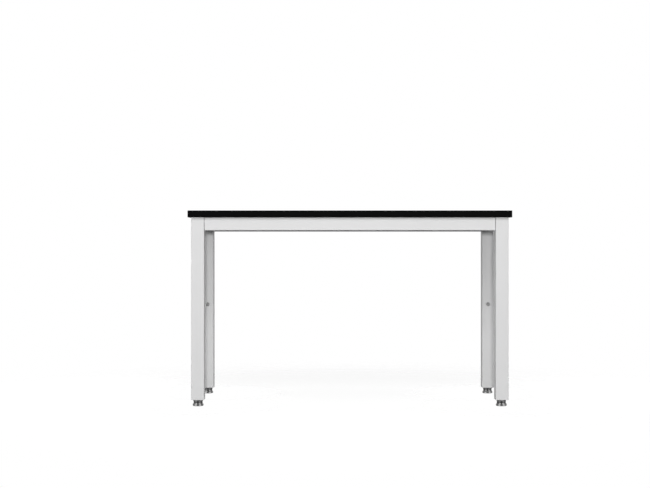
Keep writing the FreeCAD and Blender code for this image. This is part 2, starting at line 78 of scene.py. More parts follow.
class Corner(Enum):
    """The four legs, each with the signs of its x and y."""

    FRONT_LEFT = (-1, -1)
    FRONT_RIGHT = (1, -1)
    REAR_LEFT = (-1, 1)
    REAR_RIGHT = (1, 1)

    @property
    def label(self) -> str:
        """The corner's name in the names of nodes and bodies."""
        return self.name.lower()

    @property
    def centre(self) -> Point:
        """The middle of this corner's leg, in millimetres."""
        return self.value[0] * LEG_X, self.value[1] * LEG_Y


class Body(Enum):
    """The bodies that pieces ride on; a foot and its stud have the corner's name added."""

    BENCH = "bench"
    FOOT = "foot"
    STUD = "stud"

    def at(self, corner: Corner) -> str:
        """The name of this body at one corner."""
        return f"{self.value}_{corner.label}"


class Slot(Enum):
    """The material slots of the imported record."""

    RESIN_TOP = "resin_top"
    POWDER_COAT = "powder_coat"
    ZINC_STEEL = "zinc_steel"
    PLATED_FOOT = "plated_foot"
    STAINLESS_STEEL = "stainless_steel"
    BRASS = "brass"
    FOOT_RUBBER = "foot_rubber"


# Node trees


class Graph:
    """A node tree that is being wired up, for a material, the world or Geometry Nodes."""

    def __init__(self, tree: bpy.types.NodeTree) -> None:
        """Take hold of the tree to add nodes to."""
        self.tree = tree

    def add(self, kind: str, **settings: object) -> bpy.types.Node:
        """Add a node.

        Args:
            kind: The node's Blender type.
            settings: The node's own properties.

        Returns:
            The new node.
        """
        node = self.tree.nodes.new(kind)
        for key, setting in settings.items():
            setattr(node, key, setting)
        return node

    def feed(self, socket: Socket, what: object) -> None:
        """Link a socket to another one, or set its value.

        Args:
            socket: The input to feed.
            what: The output to link it to, or its value.
        """
        if isinstance(what, Socket):
            self.tree.links.new(what, socket)
        else:
            socket.default_value = what

    def math(self, operation: str, *terms: object) -> Socket:
        """Work out one sum.

        Args:
            operation: A Math node's operation.
            terms: Its inputs, sockets or numbers.

        Returns:
            The result's socket.
        """
        node = self.add("ShaderNodeMath", operation=operation)
        for socket, term in zip(node.inputs, terms):
            self.feed(socket, term)
        return node.outputs[0]

    def remap(self, amount: object, start: Span, end: Span, smooth: bool = False) -> Socket:
        """Stretch one range of numbers onto another, clamped at both ends.

        Args:
            amount: The number to stretch.
            start: The range that it comes from.
            end: The range that it goes to.
            smooth: Whether it eases in and out.

        Returns:
            The result's socket.
        """
        node = self.add("ShaderNodeMapRange", interpolation_type="SMOOTHSTEP" if smooth else "LINEAR")
        for name, term in zip(("Value", "From Min", "From Max", "To Min", "To Max"), (amount, *start, *end)):
            self.feed(node.inputs[name], term)
        return node.outputs[0]

    def noise(self, where: Socket, scale: float, detail: float = 2.0) -> Socket:
        """A noise pattern.

        Args:
            where: Coordinates in metres.
            scale: Blotches to the metre.
            detail: Finer layers on top.

        Returns:
            The pattern, from 0 to 1.
        """
        node = self.add("ShaderNodeTexNoise")
        self.feed(node.inputs["Vector"], where)
        node.inputs["Scale"].default_value = scale
        node.inputs["Detail"].default_value = detail
        return node.outputs["Fac"]

    def weigh(self, first: Socket, second: Socket, share: float) -> Socket:
        """Mix two patterns: a share of the first and the rest of the second."""
        return self.math("ADD", self.math("MULTIPLY", first, share), self.math("MULTIPLY", second, 1 - share))

    def split(self, vector: Socket) -> Sequence[Socket]:
        """Take a vector apart.

        Args:
            vector: The vector.

        Returns:
            Its x, y and z.
        """
        node = self.add("ShaderNodeSeparateXYZ")
        self.feed(node.inputs[0], vector)
        return node.outputs

    def join(self, x: object = 0.0, y: object = 0.0, z: object = 0.0) -> Socket:
        """Put a vector together.

        Args:
            x: Its first part, a number or a socket.
            y: Its second part.
            z: Its third part.

        Returns:
            The vector's socket.
        """
        node = self.add("ShaderNodeCombineXYZ")
        for socket, term in zip(node.inputs, (x, y, z)):
            self.feed(socket, term)
        return node.outputs[0]

    def between(self, amount: Socket, first: Colour, second: Colour) -> Socket:
        """Mix two colours.

        Args:
            amount: How far the mixture is from the first to the second, 0 to 1.
            first: The colour at 0.
            second: The colour at 1.

        Returns:
            The mixture's socket.
        """
        node = self.add("ShaderNodeMix", data_type="RGBA")
        self.feed(node.inputs["Factor"], amount)
        node.inputs[MIX_FIRST].default_value = (*first, 1.0)
        node.inputs[MIX_SECOND].default_value = (*second, 1.0)
        return node.outputs[MIX_RESULT]

    def bump(self, height: Socket, depth: float) -> Socket:
        """Turn a height pattern into a normal.

        Args:
            height: The pattern.
            depth: The height of 1 in the pattern, in millimetres.

        Returns:
            The normal's socket.
        """
        node = self.add("ShaderNodeBump")
        node.inputs["Distance"].default_value = depth * MM
        self.feed(node.inputs["Height"], height)
        return node.outputs["Normal"]


# Finishes


@dataclass(frozen=True)
class Finish:
    """A surface finish: name, record slot, colour, roughness, and how far the last two wander."""

    name: str
    slot: Slot
    colour: Colour
    roughness: float
    roughness_spread: float
    colour_spread: float

    def material(self) -> bpy.types.Material:
        """The finish as a material, built the first time it is asked for.

        Returns:
            The material.
        """
        known = bpy.data.materials.get(self.name)
        if known is not None:
            return known
        material = bpy.data.materials.new(self.name)
        material.use_nodes = True
        material.diffuse_color = (*self.colour, 1.0)
        graph = Graph(material.node_tree)
        shader = material.node_tree.nodes["Principled BSDF"]
        where = graph.add("ShaderNodeTexCoord").outputs["Object"]
        self.dress(graph, shader.inputs, where)
        return material

    def dress(self, graph: Graph, shader: Inputs, where: Socket) -> None:
        """Wire the finish into the shader.

        Args:
            graph: The material's tree.
            shader: The inputs of its Principled shader.
            where: Object coordinates in metres.
        """
        raise NotImplementedError

    def shade(self, share: float) -> Colour:
        """The finish's colour, lighter or darker by a share."""
        red, green, blue = (band * (1 + share) for band in self.colour)
        return red, green, blue

    def paint(self, graph: Graph, shader: Inputs, pattern: Socket) -> None:
        """Let one pattern shift the colour and the roughness a little.

        Args:
            graph: The material's tree.
            shader: The inputs of its Principled shader.
            pattern: The pattern, about 0 to 1.
        """
        tone = graph.between(pattern, self.shade(-self.colour_spread), self.shade(self.colour_spread))
        graph.feed(shader["Base Color"], tone)
        spread = (self.roughness - self.roughness_spread, self.roughness + self.roughness_spread)
        graph.feed(shader["Roughness"], graph.remap(pattern, PATTERN_SPAN, spread))


@dataclass(frozen=True)
class PowderCoat(Finish):
    """Satin powder coat: a fine orange peel over a slow drift in thickness."""

    peel: float = 620.0
    grain: float = 2600.0
    grain_share: float = 0.25
    drift: float = 7.0
    depth: float = 0.09
    specular: float = 0.4

    def dress(self, graph: Graph, shader: Inputs, where: Socket) -> None:
        """Wire the orange peel, the grain and the drift.

        Args:
            graph: The material's tree.
            shader: The inputs of its Principled shader.
            where: Object coordinates in metres.
        """
        self.paint(graph, shader, graph.noise(where, self.drift, detail=3.0))
        peel = graph.noise(where, self.peel, detail=1.5)
        grain = graph.math("MULTIPLY", graph.noise(where, self.grain, detail=1.0), self.grain_share)
        graph.feed(shader["Normal"], graph.bump(graph.math("ADD", peel, grain), self.depth))
        shader["Specular IOR Level"].default_value = self.specular


@dataclass(frozen=True)
class CastResin(Finish):
    """Cast black resin: a fine leathery texture with faint clouds and a light fleck."""

    texture: float = 900.0
    cloud: float = 11.0
    fleck: float = 2200.0
    fleck_edge: Span = (0.66, 0.74)
    fleck_strength: float = 0.8
    depth: float = 0.16
    specular: float = 0.14

    def dress(self, graph: Graph, shader: Inputs, where: Socket) -> None:
        """Wire the texture, the clouds and the fleck.

        Args:
            graph: The material's tree.
            shader: The inputs of its Principled shader.
            where: Object coordinates in metres.
        """
        clouds = graph.noise(where, self.cloud, detail=4.0)
        texture = graph.noise(where, self.texture, detail=3.0)
        fleck = graph.noise(where, self.fleck, detail=1.0)
        specks = graph.remap(fleck, self.fleck_edge, (0.0, self.fleck_strength), smooth=True)
        self.paint(graph, shader, graph.math("ADD", clouds, specks))
        graph.feed(shader["Normal"], graph.bump(texture, self.depth))
        shader["Specular IOR Level"].default_value = self.specular


@dataclass(frozen=True)
class TurnedMetal(Finish):
    """Metal off a lathe: fine rings along the profile under a plated or bare surface."""

    rings: float = 5200.0
    coarse_rings: float = 900.0
    fine_share: float = 0.6
    smudge: float = 90.0
    ring_share: float = 0.6
    depth: float = 0.012
    stretch: float = 0.6
    stretch_turn: float = 0.25

    def dress(self, graph: Graph, shader: Inputs, where: Socket) -> None:
        """Wire the rings and the smudges; the highlights stretch across the rings.

        Args:
            graph: The material's tree.
            shader: The inputs of its Principled shader.
            where: Object coordinates in metres.
        """
        shader["Metallic"].default_value = 1.0
        shader["Anisotropic"].default_value = self.stretch
        shader["Anisotropic Rotation"].default_value = self.stretch_turn
        tangent = graph.add("ShaderNodeTangent", direction_type="UV_MAP", uv_map=RING_MAP)
        graph.feed(shader["Tangent"], tangent.outputs[0])
        along = graph.split(graph.add("ShaderNodeUVMap", uv_map=RING_MAP).outputs[0])[1]
        line = graph.join(y=along)
        fine = graph.noise(line, self.rings, detail=2.0)
        coarse = graph.noise(line, self.coarse_rings, detail=1.0)
        rings = graph.weigh(fine, coarse, self.fine_share)
        smudges = graph.noise(where, self.smudge, detail=3.0)
        self.paint(graph, shader, graph.weigh(rings, smudges, self.ring_share))
        graph.feed(shader["Normal"], graph.bump(rings, self.depth))


@dataclass(frozen=True)
class PlatedSteel(Finish):
    """Pressed and plated steel: cloudy plating with fine scuffs."""

    cloud: float = 160.0
    cloud_share: float = 0.65
    scuff: float = 1900.0
    depth: float = 0.01

    def dress(self, graph: Graph, shader: Inputs, where: Socket) -> None:
        """Wire the clouds and the scuffs.

        Args:
            graph: The material's tree.
            shader: The inputs of its Principled shader.
            where: Object coordinates in metres.
        """
        shader["Metallic"].default_value = 1.0
        clouds = graph.noise(where, self.cloud, detail=4.0)
        scuffs = graph.noise(where, self.scuff, detail=2.0)
        self.paint(graph, shader, graph.weigh(clouds, scuffs, self.cloud_share))
        graph.feed(shader["Normal"], graph.bump(scuffs, self.depth))


@dataclass(frozen=True)
class MouldedRubber(Finish):
    """Moulded rubber: matt, with a fine grain and dusty patches."""

    grain: float = 1500.0
    dust: float = 70.0
    depth: float = 0.05
    specular: float = 0.3

    def dress(self, graph: Graph, shader: Inputs, where: Socket) -> None:
        """Wire the grain and the dust.

        Args:
            graph: The material's tree.
            shader: The inputs of its Principled shader.
            where: Object coordinates in metres.
        """
        self.paint(graph, shader, graph.noise(where, self.dust, detail=4.0))
        graph.feed(shader["Normal"], graph.bump(graph.noise(where, self.grain, detail=3.0), self.depth))
        shader["Specular IOR Level"].default_value = self.specular


LIGHT_GREY_COAT = PowderCoat(
    "light_grey_powder_coat", Slot.POWDER_COAT, (0.72, 0.72, 0.722),
    roughness=0.46, roughness_spread=0.04, colour_spread=0.015)
BLACK_RESIN = CastResin(
    "black_cast_resin", Slot.RESIN_TOP, (0.0024, 0.0024, 0.0025),
    roughness=0.42, roughness_spread=0.025, colour_spread=0.3)
PLATED_FOOT = TurnedMetal(
    "nickel_plated_foot", Slot.PLATED_FOOT, (0.76, 0.76, 0.76),
    roughness=0.22, roughness_spread=0.05, colour_spread=0.1)
DULL_BUSH = TurnedMetal(
    "dull_plated_bush", Slot.PLATED_FOOT, (0.34, 0.34, 0.345),
    roughness=0.5, roughness_spread=0.06, colour_spread=0.1)
BRIGHT_ZINC = PlatedSteel(
    "bright_zinc_plate", Slot.ZINC_STEEL, (0.6, 0.61, 0.63),
    roughness=0.3, roughness_spread=0.07, colour_spread=0.09)
SATIN_STAINLESS = TurnedMetal(
    "satin_stainless_steel", Slot.STAINLESS_STEEL, (0.7, 0.7, 0.7),
    roughness=0.4, roughness_spread=0.05, colour_spread=0.06)
TURNED_BRASS = TurnedMetal(
    "turned_brass", Slot.BRASS, (0.66, 0.47, 0.2),
    roughness=0.28, roughness_spread=0.05, colour_spread=0.08)
BLACK_RUBBER = MouldedRubber(
    "black_moulded_rubber", Slot.FOOT_RUBBER, (0.021, 0.021, 0.022),
    roughness=0.72, roughness_spread=0.08, colour_spread=0.25)


# Lofted and turned meshes


def eased(corners: Corners, steps: int = 5) -> list[Point]:
    """Round the corners of a profile.

    Args:
        corners: Radius and height of each corner, and the radius to round it by where it has one.
        steps: Straight pieces in each rounding.

    Returns:
        The profile's points, radius and height.
    """
    points: list[Point] = []
    for i, corner in enumerate(corners):
        here = Vector(corner[:2])
        if len(corner) < 3:
            points.append((here.x, here.y))
            continue
        before = (Vector(corners[i - 1][:2]) - here).normalized()
        after = (Vector(corners[(i + 1) % len(corners)][:2]) - here).normalized()
        half = before.angle(after) / 2
        middle = here + (before + after).normalized() * corner[2] / math.sin(half)
        start = here + before * corner[2] / math.tan(half) - middle
        end = here + after * corner[2] / math.tan(half) - middle
        for step in range(steps + 1):
            spoke = start.slerp(end, step / steps).normalized() * corner[2]
            points.append((middle.x + spoke.x, middle.y + spoke.y))
    return points


def ring(radius: float, height: float) -> Outline:
    """A round outline at one height."""
    return lambda angle: (radius, height)


def hexagon(flats: float, height: float, crown: float = 0.0, crown_width: float = 0.0) -> Outline:
    """A six-sided outline, cut down by a cone where it has a crown.

    Args:
        flats: Size across the flats.
        height: Height of the outline.
        crown: Slope of the cone that bevels the corners, down where positive.
        crown_width: Where the cone starts, across.

    Returns:
        The outline.
    """
    def outline(angle: float) -> Point:
        """Find a point of the outline.

        Args:
            angle: The angle about the axis.

        Returns:
            Radius and height.
        """
        side = math.radians((math.degrees(angle) + 30) % 60 - 30)
        radius = flats / 2 / math.cos(side)
        return radius, height - crown * max(0.0, radius - crown_width / 2)
    return outline


@dataclass
class Loft:
    """A closed surface through outlines about an upright axis, with a map that runs along its profile."""

    name: str
    outlines: Sequence[Outline]
    closed: bool = False
    segments: int = 96
    crease: float = SHARP_EDGE

    def build(self, centre: Place = (0.0, 0.0, 0.0)) -> Piece:
        """Make the mesh.

        Args:
            centre: The axis's foot, in millimetres.

        Returns:
            The object, at the origin with its place in its mesh.
        """
        work = bmesh.new()
        chart = work.loops.layers.uv.new(RING_MAP)
        angles = [2 * math.pi * i / self.segments for i in range(self.segments)]
        rows: list[list[bmesh.types.BMVert]] = []
        for outline in self.outlines:
            points = [outline(angle) for angle in angles]
            if max(radius for radius, _ in points) < POLE_RADIUS:
                rows.append([work.verts.new((0.0, 0.0, points[0][1] * MM))])
                continue
            rows.append([
                work.verts.new((radius * math.cos(angle) * MM, radius * math.sin(angle) * MM, height * MM))
                for angle, (radius, height) in zip(angles, points)])
        runs = [0.0]
        pairs = list(zip(rows, rows[1:] + ([rows[0]] if self.closed else [])))
        for low, high in pairs:
            runs.append(runs[-1] + (low[0].co - high[0].co).length)
        for (low, high), start, end in zip(pairs, runs, runs[1:]):
            self.band(work, chart, low, high, start, end)
        bmesh.ops.recalc_face_normals(work, faces=work.faces)
        bmesh.ops.translate(work, verts=work.verts, vec=Vector(centre) * MM)
        return finished(work, self.name, self.crease)

    def band(self, work: bmesh.types.BMesh, chart: bmesh.types.BMLayerItem, low: list[bmesh.types.BMVert],
             high: list[bmesh.types.BMVert], start: float, end: float) -> None:
        """Join two rows with faces and lay out their map.

        Args:
            work: The mesh being made.
            chart: Its map.
            low: The first row; a single vertex is a pole.
            high: The next row.
            start: The first row's place along the profile.
            end: The next row's place.
        """
        for i in range(self.segments):
            j = i + 1
            here, there = i / self.segments, j / self.segments
            spots = [(low[i % len(low)], (here, start)), (low[j % len(low)], (there, start)),
                     (high[j % len(high)], (there, end)), (high[i % len(high)], (here, end))]
            if len(low) == 1:
                spots.pop(1)
            elif len(high) == 1:
                spots.pop(3)
            face = work.faces.new([vert for vert, _ in spots])
            for loop, (_, spot) in zip(face.loops, spots):
                loop[chart].uv = spot


def turned(name: str, corners: Corners, centre: Place = (0.0, 0.0, 0.0), closed: bool = True,
           segments: int = 96) -> Piece:
    """Turn a profile about an upright axis.

    Args:
        name: The piece's name.
        corners: The profile's corners, as eased() takes them.
        centre: The axis's foot, in millimetres.
        closed: Whether the last corner joins the first, as round a bore.
        segments: Flats round the piece.

    Returns:
        The piece.
    """
    outlines = [ring(radius, height) for radius, height in eased(corners)]
    return Loft(name, outlines, closed, segments).build(centre)


def finished(work: bmesh.types.BMesh, name: str, crease: float) -> Piece:
    """Turn a working mesh into an object, smooth but for its sharp edges.

    Args:
        work: The working mesh. It is used up.
        name: The piece's name.
        crease: Edges sharper than this stay sharp, in degrees.

    Returns:
        The piece.
    """
    mesh = bpy.data.meshes.new(name)
    work.to_mesh(mesh)
    work.free()
    mesh.shade_smooth()
    mesh.set_sharp_from_angle(angle=math.radians(crease))
    return linked(name, mesh)


def linked(name: str, data: bpy.types.ID) -> Piece:
    """Put a mesh, a curve, a lamp or a camera into the scene.

    Args:
        name: The object's name.
        data: What it shows.

    Returns:
        The object.
    """
    piece = bpy.data.objects.new(name, data)
    bpy.context.scene.collection.objects.link(piece)
    return piece


# Geometry Nodes


@dataclass
class NodeRecipe:
    """A Geometry Nodes tree with named inputs, and the way to run it once and keep plain meshes."""

    name: str
    inputs: Sequence[tuple[str, str]]
    recipe: Callable[[Graph, Given], Socket]

    def tree(self) -> bpy.types.NodeTree:
        """The tree, built the first time it is asked for.

        Returns:
            The tree.
        """
        known = bpy.data.node_groups.get(self.name)
        if known is not None:
            return known
        tree = bpy.data.node_groups.new(self.name, "GeometryNodeTree")
        tree.interface.new_socket("Geometry", in_out="OUTPUT", socket_type="NodeSocketGeometry")
        for label, kind in [("Geometry", "Geometry"), *self.inputs, ("Material", "Material")]:
            tree.interface.new_socket(label, in_out="INPUT", socket_type=f"NodeSocket{kind}")
        graph = Graph(tree)
        given = {socket.name: socket for socket in graph.add("NodeGroupInput").outputs if socket.name}
        shape = self.recipe(graph, given)
        realize = graph.add("GeometryNodeRealizeInstances")
        smooth = graph.add("GeometryNodeSetShadeSmooth")
        dress = graph.add("GeometryNodeSetMaterial")
        graph.feed(realize.inputs["Geometry"], shape)
        graph.feed(smooth.inputs["Geometry"], realize.outputs[0])
        graph.feed(dress.inputs["Geometry"], smooth.outputs[0])
        graph.feed(dress.inputs["Material"], given["Material"])
        graph.feed(graph.add("NodeGroupOutput").inputs[0], dress.outputs[0])
        return tree

    def run(self, seat: Piece, finish: Finish, crease: float = SHARP_EDGE, **amounts: object) -> Piece:
        """Run the tree on an object and keep the result as a plain mesh.

        Args:
            seat: The points or path that the tree starts from. It is used up.
            finish: The finish of the result.
            crease: Edges sharper than this stay sharp, in degrees.
            amounts: The tree's inputs by name, with _ for each space.

        Returns:
            The finished piece, under the seat's name.
        """
        tree = self.tree()
        modifier = seat.modifiers.new(self.name, "NODES")
        modifier.node_group = tree
        keys = {item.name: item.identifier for item in tree.interface.items_tree if item.in_out == "INPUT"}
        modifier[keys["Material"]] = finish.material()
        for label, amount in amounts.items():
            modifier[keys[label.replace("_", " ")]] = amount
        depsgraph = bpy.context.evaluated_depsgraph_get()
        mesh = bpy.data.meshes.new_from_object(seat.evaluated_get(depsgraph), depsgraph=depsgraph)
        name = seat.name
        bpy.data.objects.remove(seat)
        mesh.name = name
        mesh.set_sharp_from_angle(angle=math.radians(crease))
        return linked(name, mesh)


def on_points(graph: Graph, given: Given, part: Socket) -> Socket:
    """Stand a part on every point, along the point's own axis and turned at random.

    Args:
        graph: The tree.
        given: The tree's inputs, with a Seed among them.
        part: The geometry to stand there, along +Z.

    Returns:
        The instances.
    """
    axis = graph.add("GeometryNodeInputNamedAttribute", data_type="FLOAT_VECTOR")
    axis.inputs["Name"].default_value = "axis"
    aim = graph.add("FunctionNodeAlignRotationToVector", axis="Z")
    graph.feed(aim.inputs["Vector"], axis.outputs[0])
    spin = graph.add("FunctionNodeRandomValue", data_type="FLOAT")
    spin.inputs[RANDOM_MOST].default_value = math.pi
    graph.feed(spin.inputs["Seed"], given["Seed"])
    about = graph.add("FunctionNodeAxisAngleToRotation")
    about.inputs["Axis"].default_value = (0, 0, 1)
    graph.feed(about.inputs["Angle"], spin.outputs[RANDOM_RESULT])
    turn = graph.add("FunctionNodeRotateRotation", rotation_space="LOCAL")
    graph.feed(turn.inputs[0], aim.outputs[0])
    graph.feed(turn.inputs[1], about.outputs[0])
    stand = graph.add("GeometryNodeInstanceOnPoints")
    graph.feed(stand.inputs["Points"], given["Geometry"])
    graph.feed(stand.inputs["Instance"], part)
    graph.feed(stand.inputs["Rotation"], turn.outputs[0])
    return stand.outputs[0]


def model(graph: Graph, given: Given) -> Socket:
    """Fetch the mesh of the tree's Part input.

    Args:
        graph: The tree.
        given: The tree's inputs.

    Returns:
        The mesh's socket.
    """
    info = graph.add("GeometryNodeObjectInfo", transform_space="ORIGINAL")
    graph.feed(info.inputs["Object"], given["Part"])
    return info.outputs["Geometry"]


def repeat_part(graph: Graph, given: Given) -> Socket:
    """The recipe for a part that is repeated as it is."""
    return on_points(graph, given, model(graph, given))


def thread_on(graph: Graph, given: Given) -> Socket:
    """The recipe for a part with a right-hand thread cut on a rod below it.

    Args:
        graph: The tree.
        given: The tree's inputs.

    Returns:
        The fasteners.
    """
    flat = 0.06
    radius = graph.math("DIVIDE", given["Thread Width"], 2.0)
    rod = graph.add("GeometryNodeMeshCylinder", fill_type="TRIANGLE_FAN")
    turns = graph.math("DIVIDE", given["Thread Length"], given["Pitch"])
    rows = graph.add("FunctionNodeFloatToInt", rounding_mode="CEILING")
    graph.feed(rows.inputs[0], graph.math("MULTIPLY", turns, given["Rows"]))
    graph.feed(rod.inputs["Vertices"], given["Facets"])
    graph.feed(rod.inputs["Side Segments"], rows.outputs[0])
    graph.feed(rod.inputs["Radius"], radius)
    graph.feed(rod.inputs["Depth"], given["Thread Length"])
    x, y, z = graph.split(graph.add("GeometryNodeInputPosition").outputs[0])
    angle = graph.math("DIVIDE", graph.math("ARCTAN2", y, x), 2 * math.pi)
    climb = graph.math("SUBTRACT", graph.math("DIVIDE", z, given["Pitch"]), angle)
    crest = graph.remap(graph.math("PINGPONG", climb, 0.5), (flat, 0.5 - flat), (0.0, 1.0))
    half = graph.math("DIVIDE", given["Thread Length"], 2.0)
    from_tip = graph.math("ADD", z, half)
    cut = graph.math("MULTIPLY", graph.math("SUBTRACT", 1.0, crest), given["Thread Depth"])
    bevel = graph.math("MAXIMUM", graph.math("SUBTRACT", given["Tip Bevel"], from_tip), cut)
    share = graph.math("DIVIDE", graph.math("SUBTRACT", radius, bevel), radius)
    moved = graph.join(graph.math("MULTIPLY", x, share), graph.math("MULTIPLY", y, share),
                       graph.math("SUBTRACT", z, half))
    shape = graph.add("GeometryNodeSetPosition")
    graph.feed(shape.inputs["Geometry"], rod.outputs["Mesh"])
    graph.feed(shape.inputs["Position"], moved)
    both = graph.add("GeometryNodeJoinGeometry")
    graph.feed(both.inputs[0], shape.outputs[0])
    graph.feed(both.inputs[0], model(graph, given))
    return on_points(graph, given, both.outputs[0])


def lay_bead(graph: Graph, given: Given) -> Socket:
    """The recipe for a weld bead along each path, with curved ripples and a little wander.

    Args:
        graph: The tree.
        given: The tree's inputs.

    Returns:
        The beads.
    """
    steps_to_a_ripple, sides, end_share = 5.0, 12, 0.35
    wander_scale, phase_wander, height_wander = 240.0, 0.9, 1.6
    steps = graph.add("GeometryNodeResampleCurve", mode="LENGTH")
    graph.feed(steps.inputs["Curve"], given["Geometry"])
    graph.feed(steps.inputs["Length"], graph.math("DIVIDE", given["Ripple Spacing"], steps_to_a_ripple))
    run = graph.add("GeometryNodeSplineParameter").outputs["Length"]
    whole = graph.add("GeometryNodeSplineLength").outputs["Length"]
    mark = graph.add("GeometryNodeStoreNamedAttribute", data_type="FLOAT", domain="POINT")
    mark.inputs["Name"].default_value = "along"
    graph.feed(mark.inputs["Geometry"], steps.outputs[0])
    graph.feed(mark.inputs["Value"], run)
    edge = graph.math("MINIMUM", run, graph.math("SUBTRACT", whole, run))
    from_end = graph.math("DIVIDE", edge, given["Bead Radius"])
    round_section = graph.add("GeometryNodeCurvePrimitiveCircle")
    round_section.inputs["Resolution"].default_value = sides
    graph.feed(round_section.inputs["Radius"], given["Bead Radius"])
    sweep = graph.add("GeometryNodeCurveToMesh")
    graph.feed(sweep.inputs["Curve"], mark.outputs[0])
    graph.feed(sweep.inputs["Profile Curve"], round_section.outputs[0])
    graph.feed(sweep.inputs["Scale"], graph.remap(from_end, (0.0, 1.0), (end_share, 1.0), smooth=True))
    sweep.inputs["Fill Caps"].default_value = True
    along = graph.add("GeometryNodeInputNamedAttribute", data_type="FLOAT")
    along.inputs["Name"].default_value = "along"
    wander = graph.add("ShaderNodeTexNoise", noise_dimensions="4D")
    graph.feed(wander.inputs["Vector"], graph.add("GeometryNodeInputPosition").outputs[0])
    graph.feed(wander.inputs["W"], given["Seed"])
    wander.inputs["Scale"].default_value = wander_scale
    phase = graph.math("ADD", graph.math("DIVIDE", along.outputs[0], given["Ripple Spacing"]),
                       graph.math("MULTIPLY", wander.outputs[0], phase_wander))
    ripple = graph.math("SUBTRACT", graph.math("PINGPONG", phase, 0.5), 0.25)
    uneven = graph.math("MULTIPLY", graph.math("SUBTRACT", wander.outputs[0], 0.5), height_wander)
    rise = graph.math("MULTIPLY", graph.math("ADD", ripple, uneven), given["Ripple Depth"])
    outward = graph.add("ShaderNodeVectorMath", operation="SCALE")
    graph.feed(outward.inputs[0], graph.add("GeometryNodeInputNormal").outputs[0])
    graph.feed(outward.inputs["Scale"], rise)
    shape = graph.add("GeometryNodeSetPosition")
    graph.feed(shape.inputs["Geometry"], sweep.outputs[0])
    graph.feed(shape.inputs["Offset"], outward.outputs[0])
    return shape.outputs[0]


PART_AND_SEED = (("Part", "Object"), ("Seed", "Int"))
REPEAT = NodeRecipe("repeat_a_part", PART_AND_SEED, repeat_part)
THREADED = NodeRecipe("threaded_fastener", (
    *PART_AND_SEED, ("Thread Width", "Float"), ("Pitch", "Float"), ("Thread Depth", "Float"),
    ("Thread Length", "Float"), ("Tip Bevel", "Float"), ("Rows", "Float"), ("Facets", "Int")), thread_on)
BEAD = NodeRecipe("weld_bead", (
    ("Bead Radius", "Float"), ("Ripple Spacing", "Float"), ("Ripple Depth", "Float"),
    ("Seed", "Int")), lay_bead)


def stands(name: str, spots: Iterable[Stand]) -> Piece:
    """Loose points for parts to stand on.

    Args:
        name: The finished piece's name.
        spots: Place in millimetres and outward axis of each part.

    Returns:
        The points' object.
    """
    pairs = list(spots)
    mesh = bpy.data.meshes.new(name)
    mesh.from_pydata([Vector(place) * MM for place, _ in pairs], [], [])
    axis = mesh.attributes.new("axis", "FLOAT_VECTOR", "POINT")
    for item, (_, direction) in zip(axis.data, pairs):
        item.vector = direction
    return linked(name, mesh)


def paths(name: str, runs: Iterable[Sequence[Place]], looped: bool = False) -> Piece:
    """Straight-sided paths for beads.

    Args:
        name: The finished piece's name.
        runs: The corners of each path, in millimetres.
        looped: Whether each path's end joins its start.

    Returns:
        The paths' object.
    """
    curve = bpy.data.curves.new(name, "CURVE")
    curve.dimensions = "3D"
    for run in runs:
        spline = curve.splines.new("POLY")
        spline.points.add(len(run) - 1)
        spline.use_cyclic_u = looped
        for spot, place in zip(spline.points, run):
            spot.co = (*(Vector(place) * MM), 1.0)
    return linked(name, curve)


def settle(piece: Piece, finish: Finish, body: str, *nodes: str) -> None:
    """Give a piece its finish, its body and the nodes it stands for.

    Args:
        piece: The piece, in place.
        finish: Its finish.
        body: The body it rides on.
        nodes: The nodes it replaces.
    """
    if not piece.data.materials:
        piece.data.materials.append(finish.material())
    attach(piece, body)
    if nodes:
        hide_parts(*nodes)
    LOG.info("%-32s %6d faces  rides on %s", piece.name, len(piece.data.polygons), body)


def coat_node(node: str, finish: Finish) -> None:
    """Give one of the frame's own nodes its finish.

    Args:
        node: The node's name.
        finish: Its finish.
    """
    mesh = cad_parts[node].data
    mesh.materials.clear()
    mesh.materials.append(finish.material())
    LOG.info("%-32s wears %s", node, finish.name)


# Fasteners and beads


@dataclass(frozen=True)
class Thread:
    """A right-hand thread's sizes in millimetres, and how finely it is cut."""

    width: float
    pitch: float
    depth: float
    length: float
    tip_bevel: float
    facets: int
    rows: float = 8.0

    def amounts(self) -> dict[str, object]:
        """The sizes as the recipe takes them.

        Returns:
            The recipe's inputs by name, in metres.
        """
        return {"Thread_Width": self.width * MM, "Pitch": self.pitch * MM, "Thread_Depth": self.depth * MM,
                "Thread_Length": self.length * MM, "Tip_Bevel": self.tip_bevel * MM, "Rows": self.rows,
                "Facets": self.facets}


@dataclass(frozen=True)
class Sleeve:
    """A sleeve with fine ribs along it, as a blind nut or an insert is."""

    width: float
    bore: float
    length: float
    ribs: int
    rib_depth: float = 0.35
    shoulder: float = 0.5
    rib_start: float = 0.9
    mouth_bevel: float = 0.6
    tip_bevel: float = 0.7

    def build(self) -> Piece:
        """Make the sleeve, hanging below z = 0.

        Returns:
            The pattern part.
        """
        outer, bore = self.width / 2, self.bore / 2

        def ribbed(height: float) -> Outline:
            """The ribbed outline at one height."""
            return lambda angle: (outer - self.rib_depth * abs(math.sin(self.ribs * angle / 2)), height)

        valley, tip = outer - self.rib_depth, -self.length
        outlines = [ring(bore, 0.0), ring(outer - self.mouth_bevel, 0.0), ring(valley, -self.shoulder),
                    ribbed(-self.rib_start), ribbed(tip + self.rib_start), ring(valley, tip + self.shoulder),
                    ring(outer - self.tip_bevel, tip), ring(bore, tip)]
        return Loft("sleeve", outlines, closed=True, segments=self.ribs * 6, crease=40.0).build()


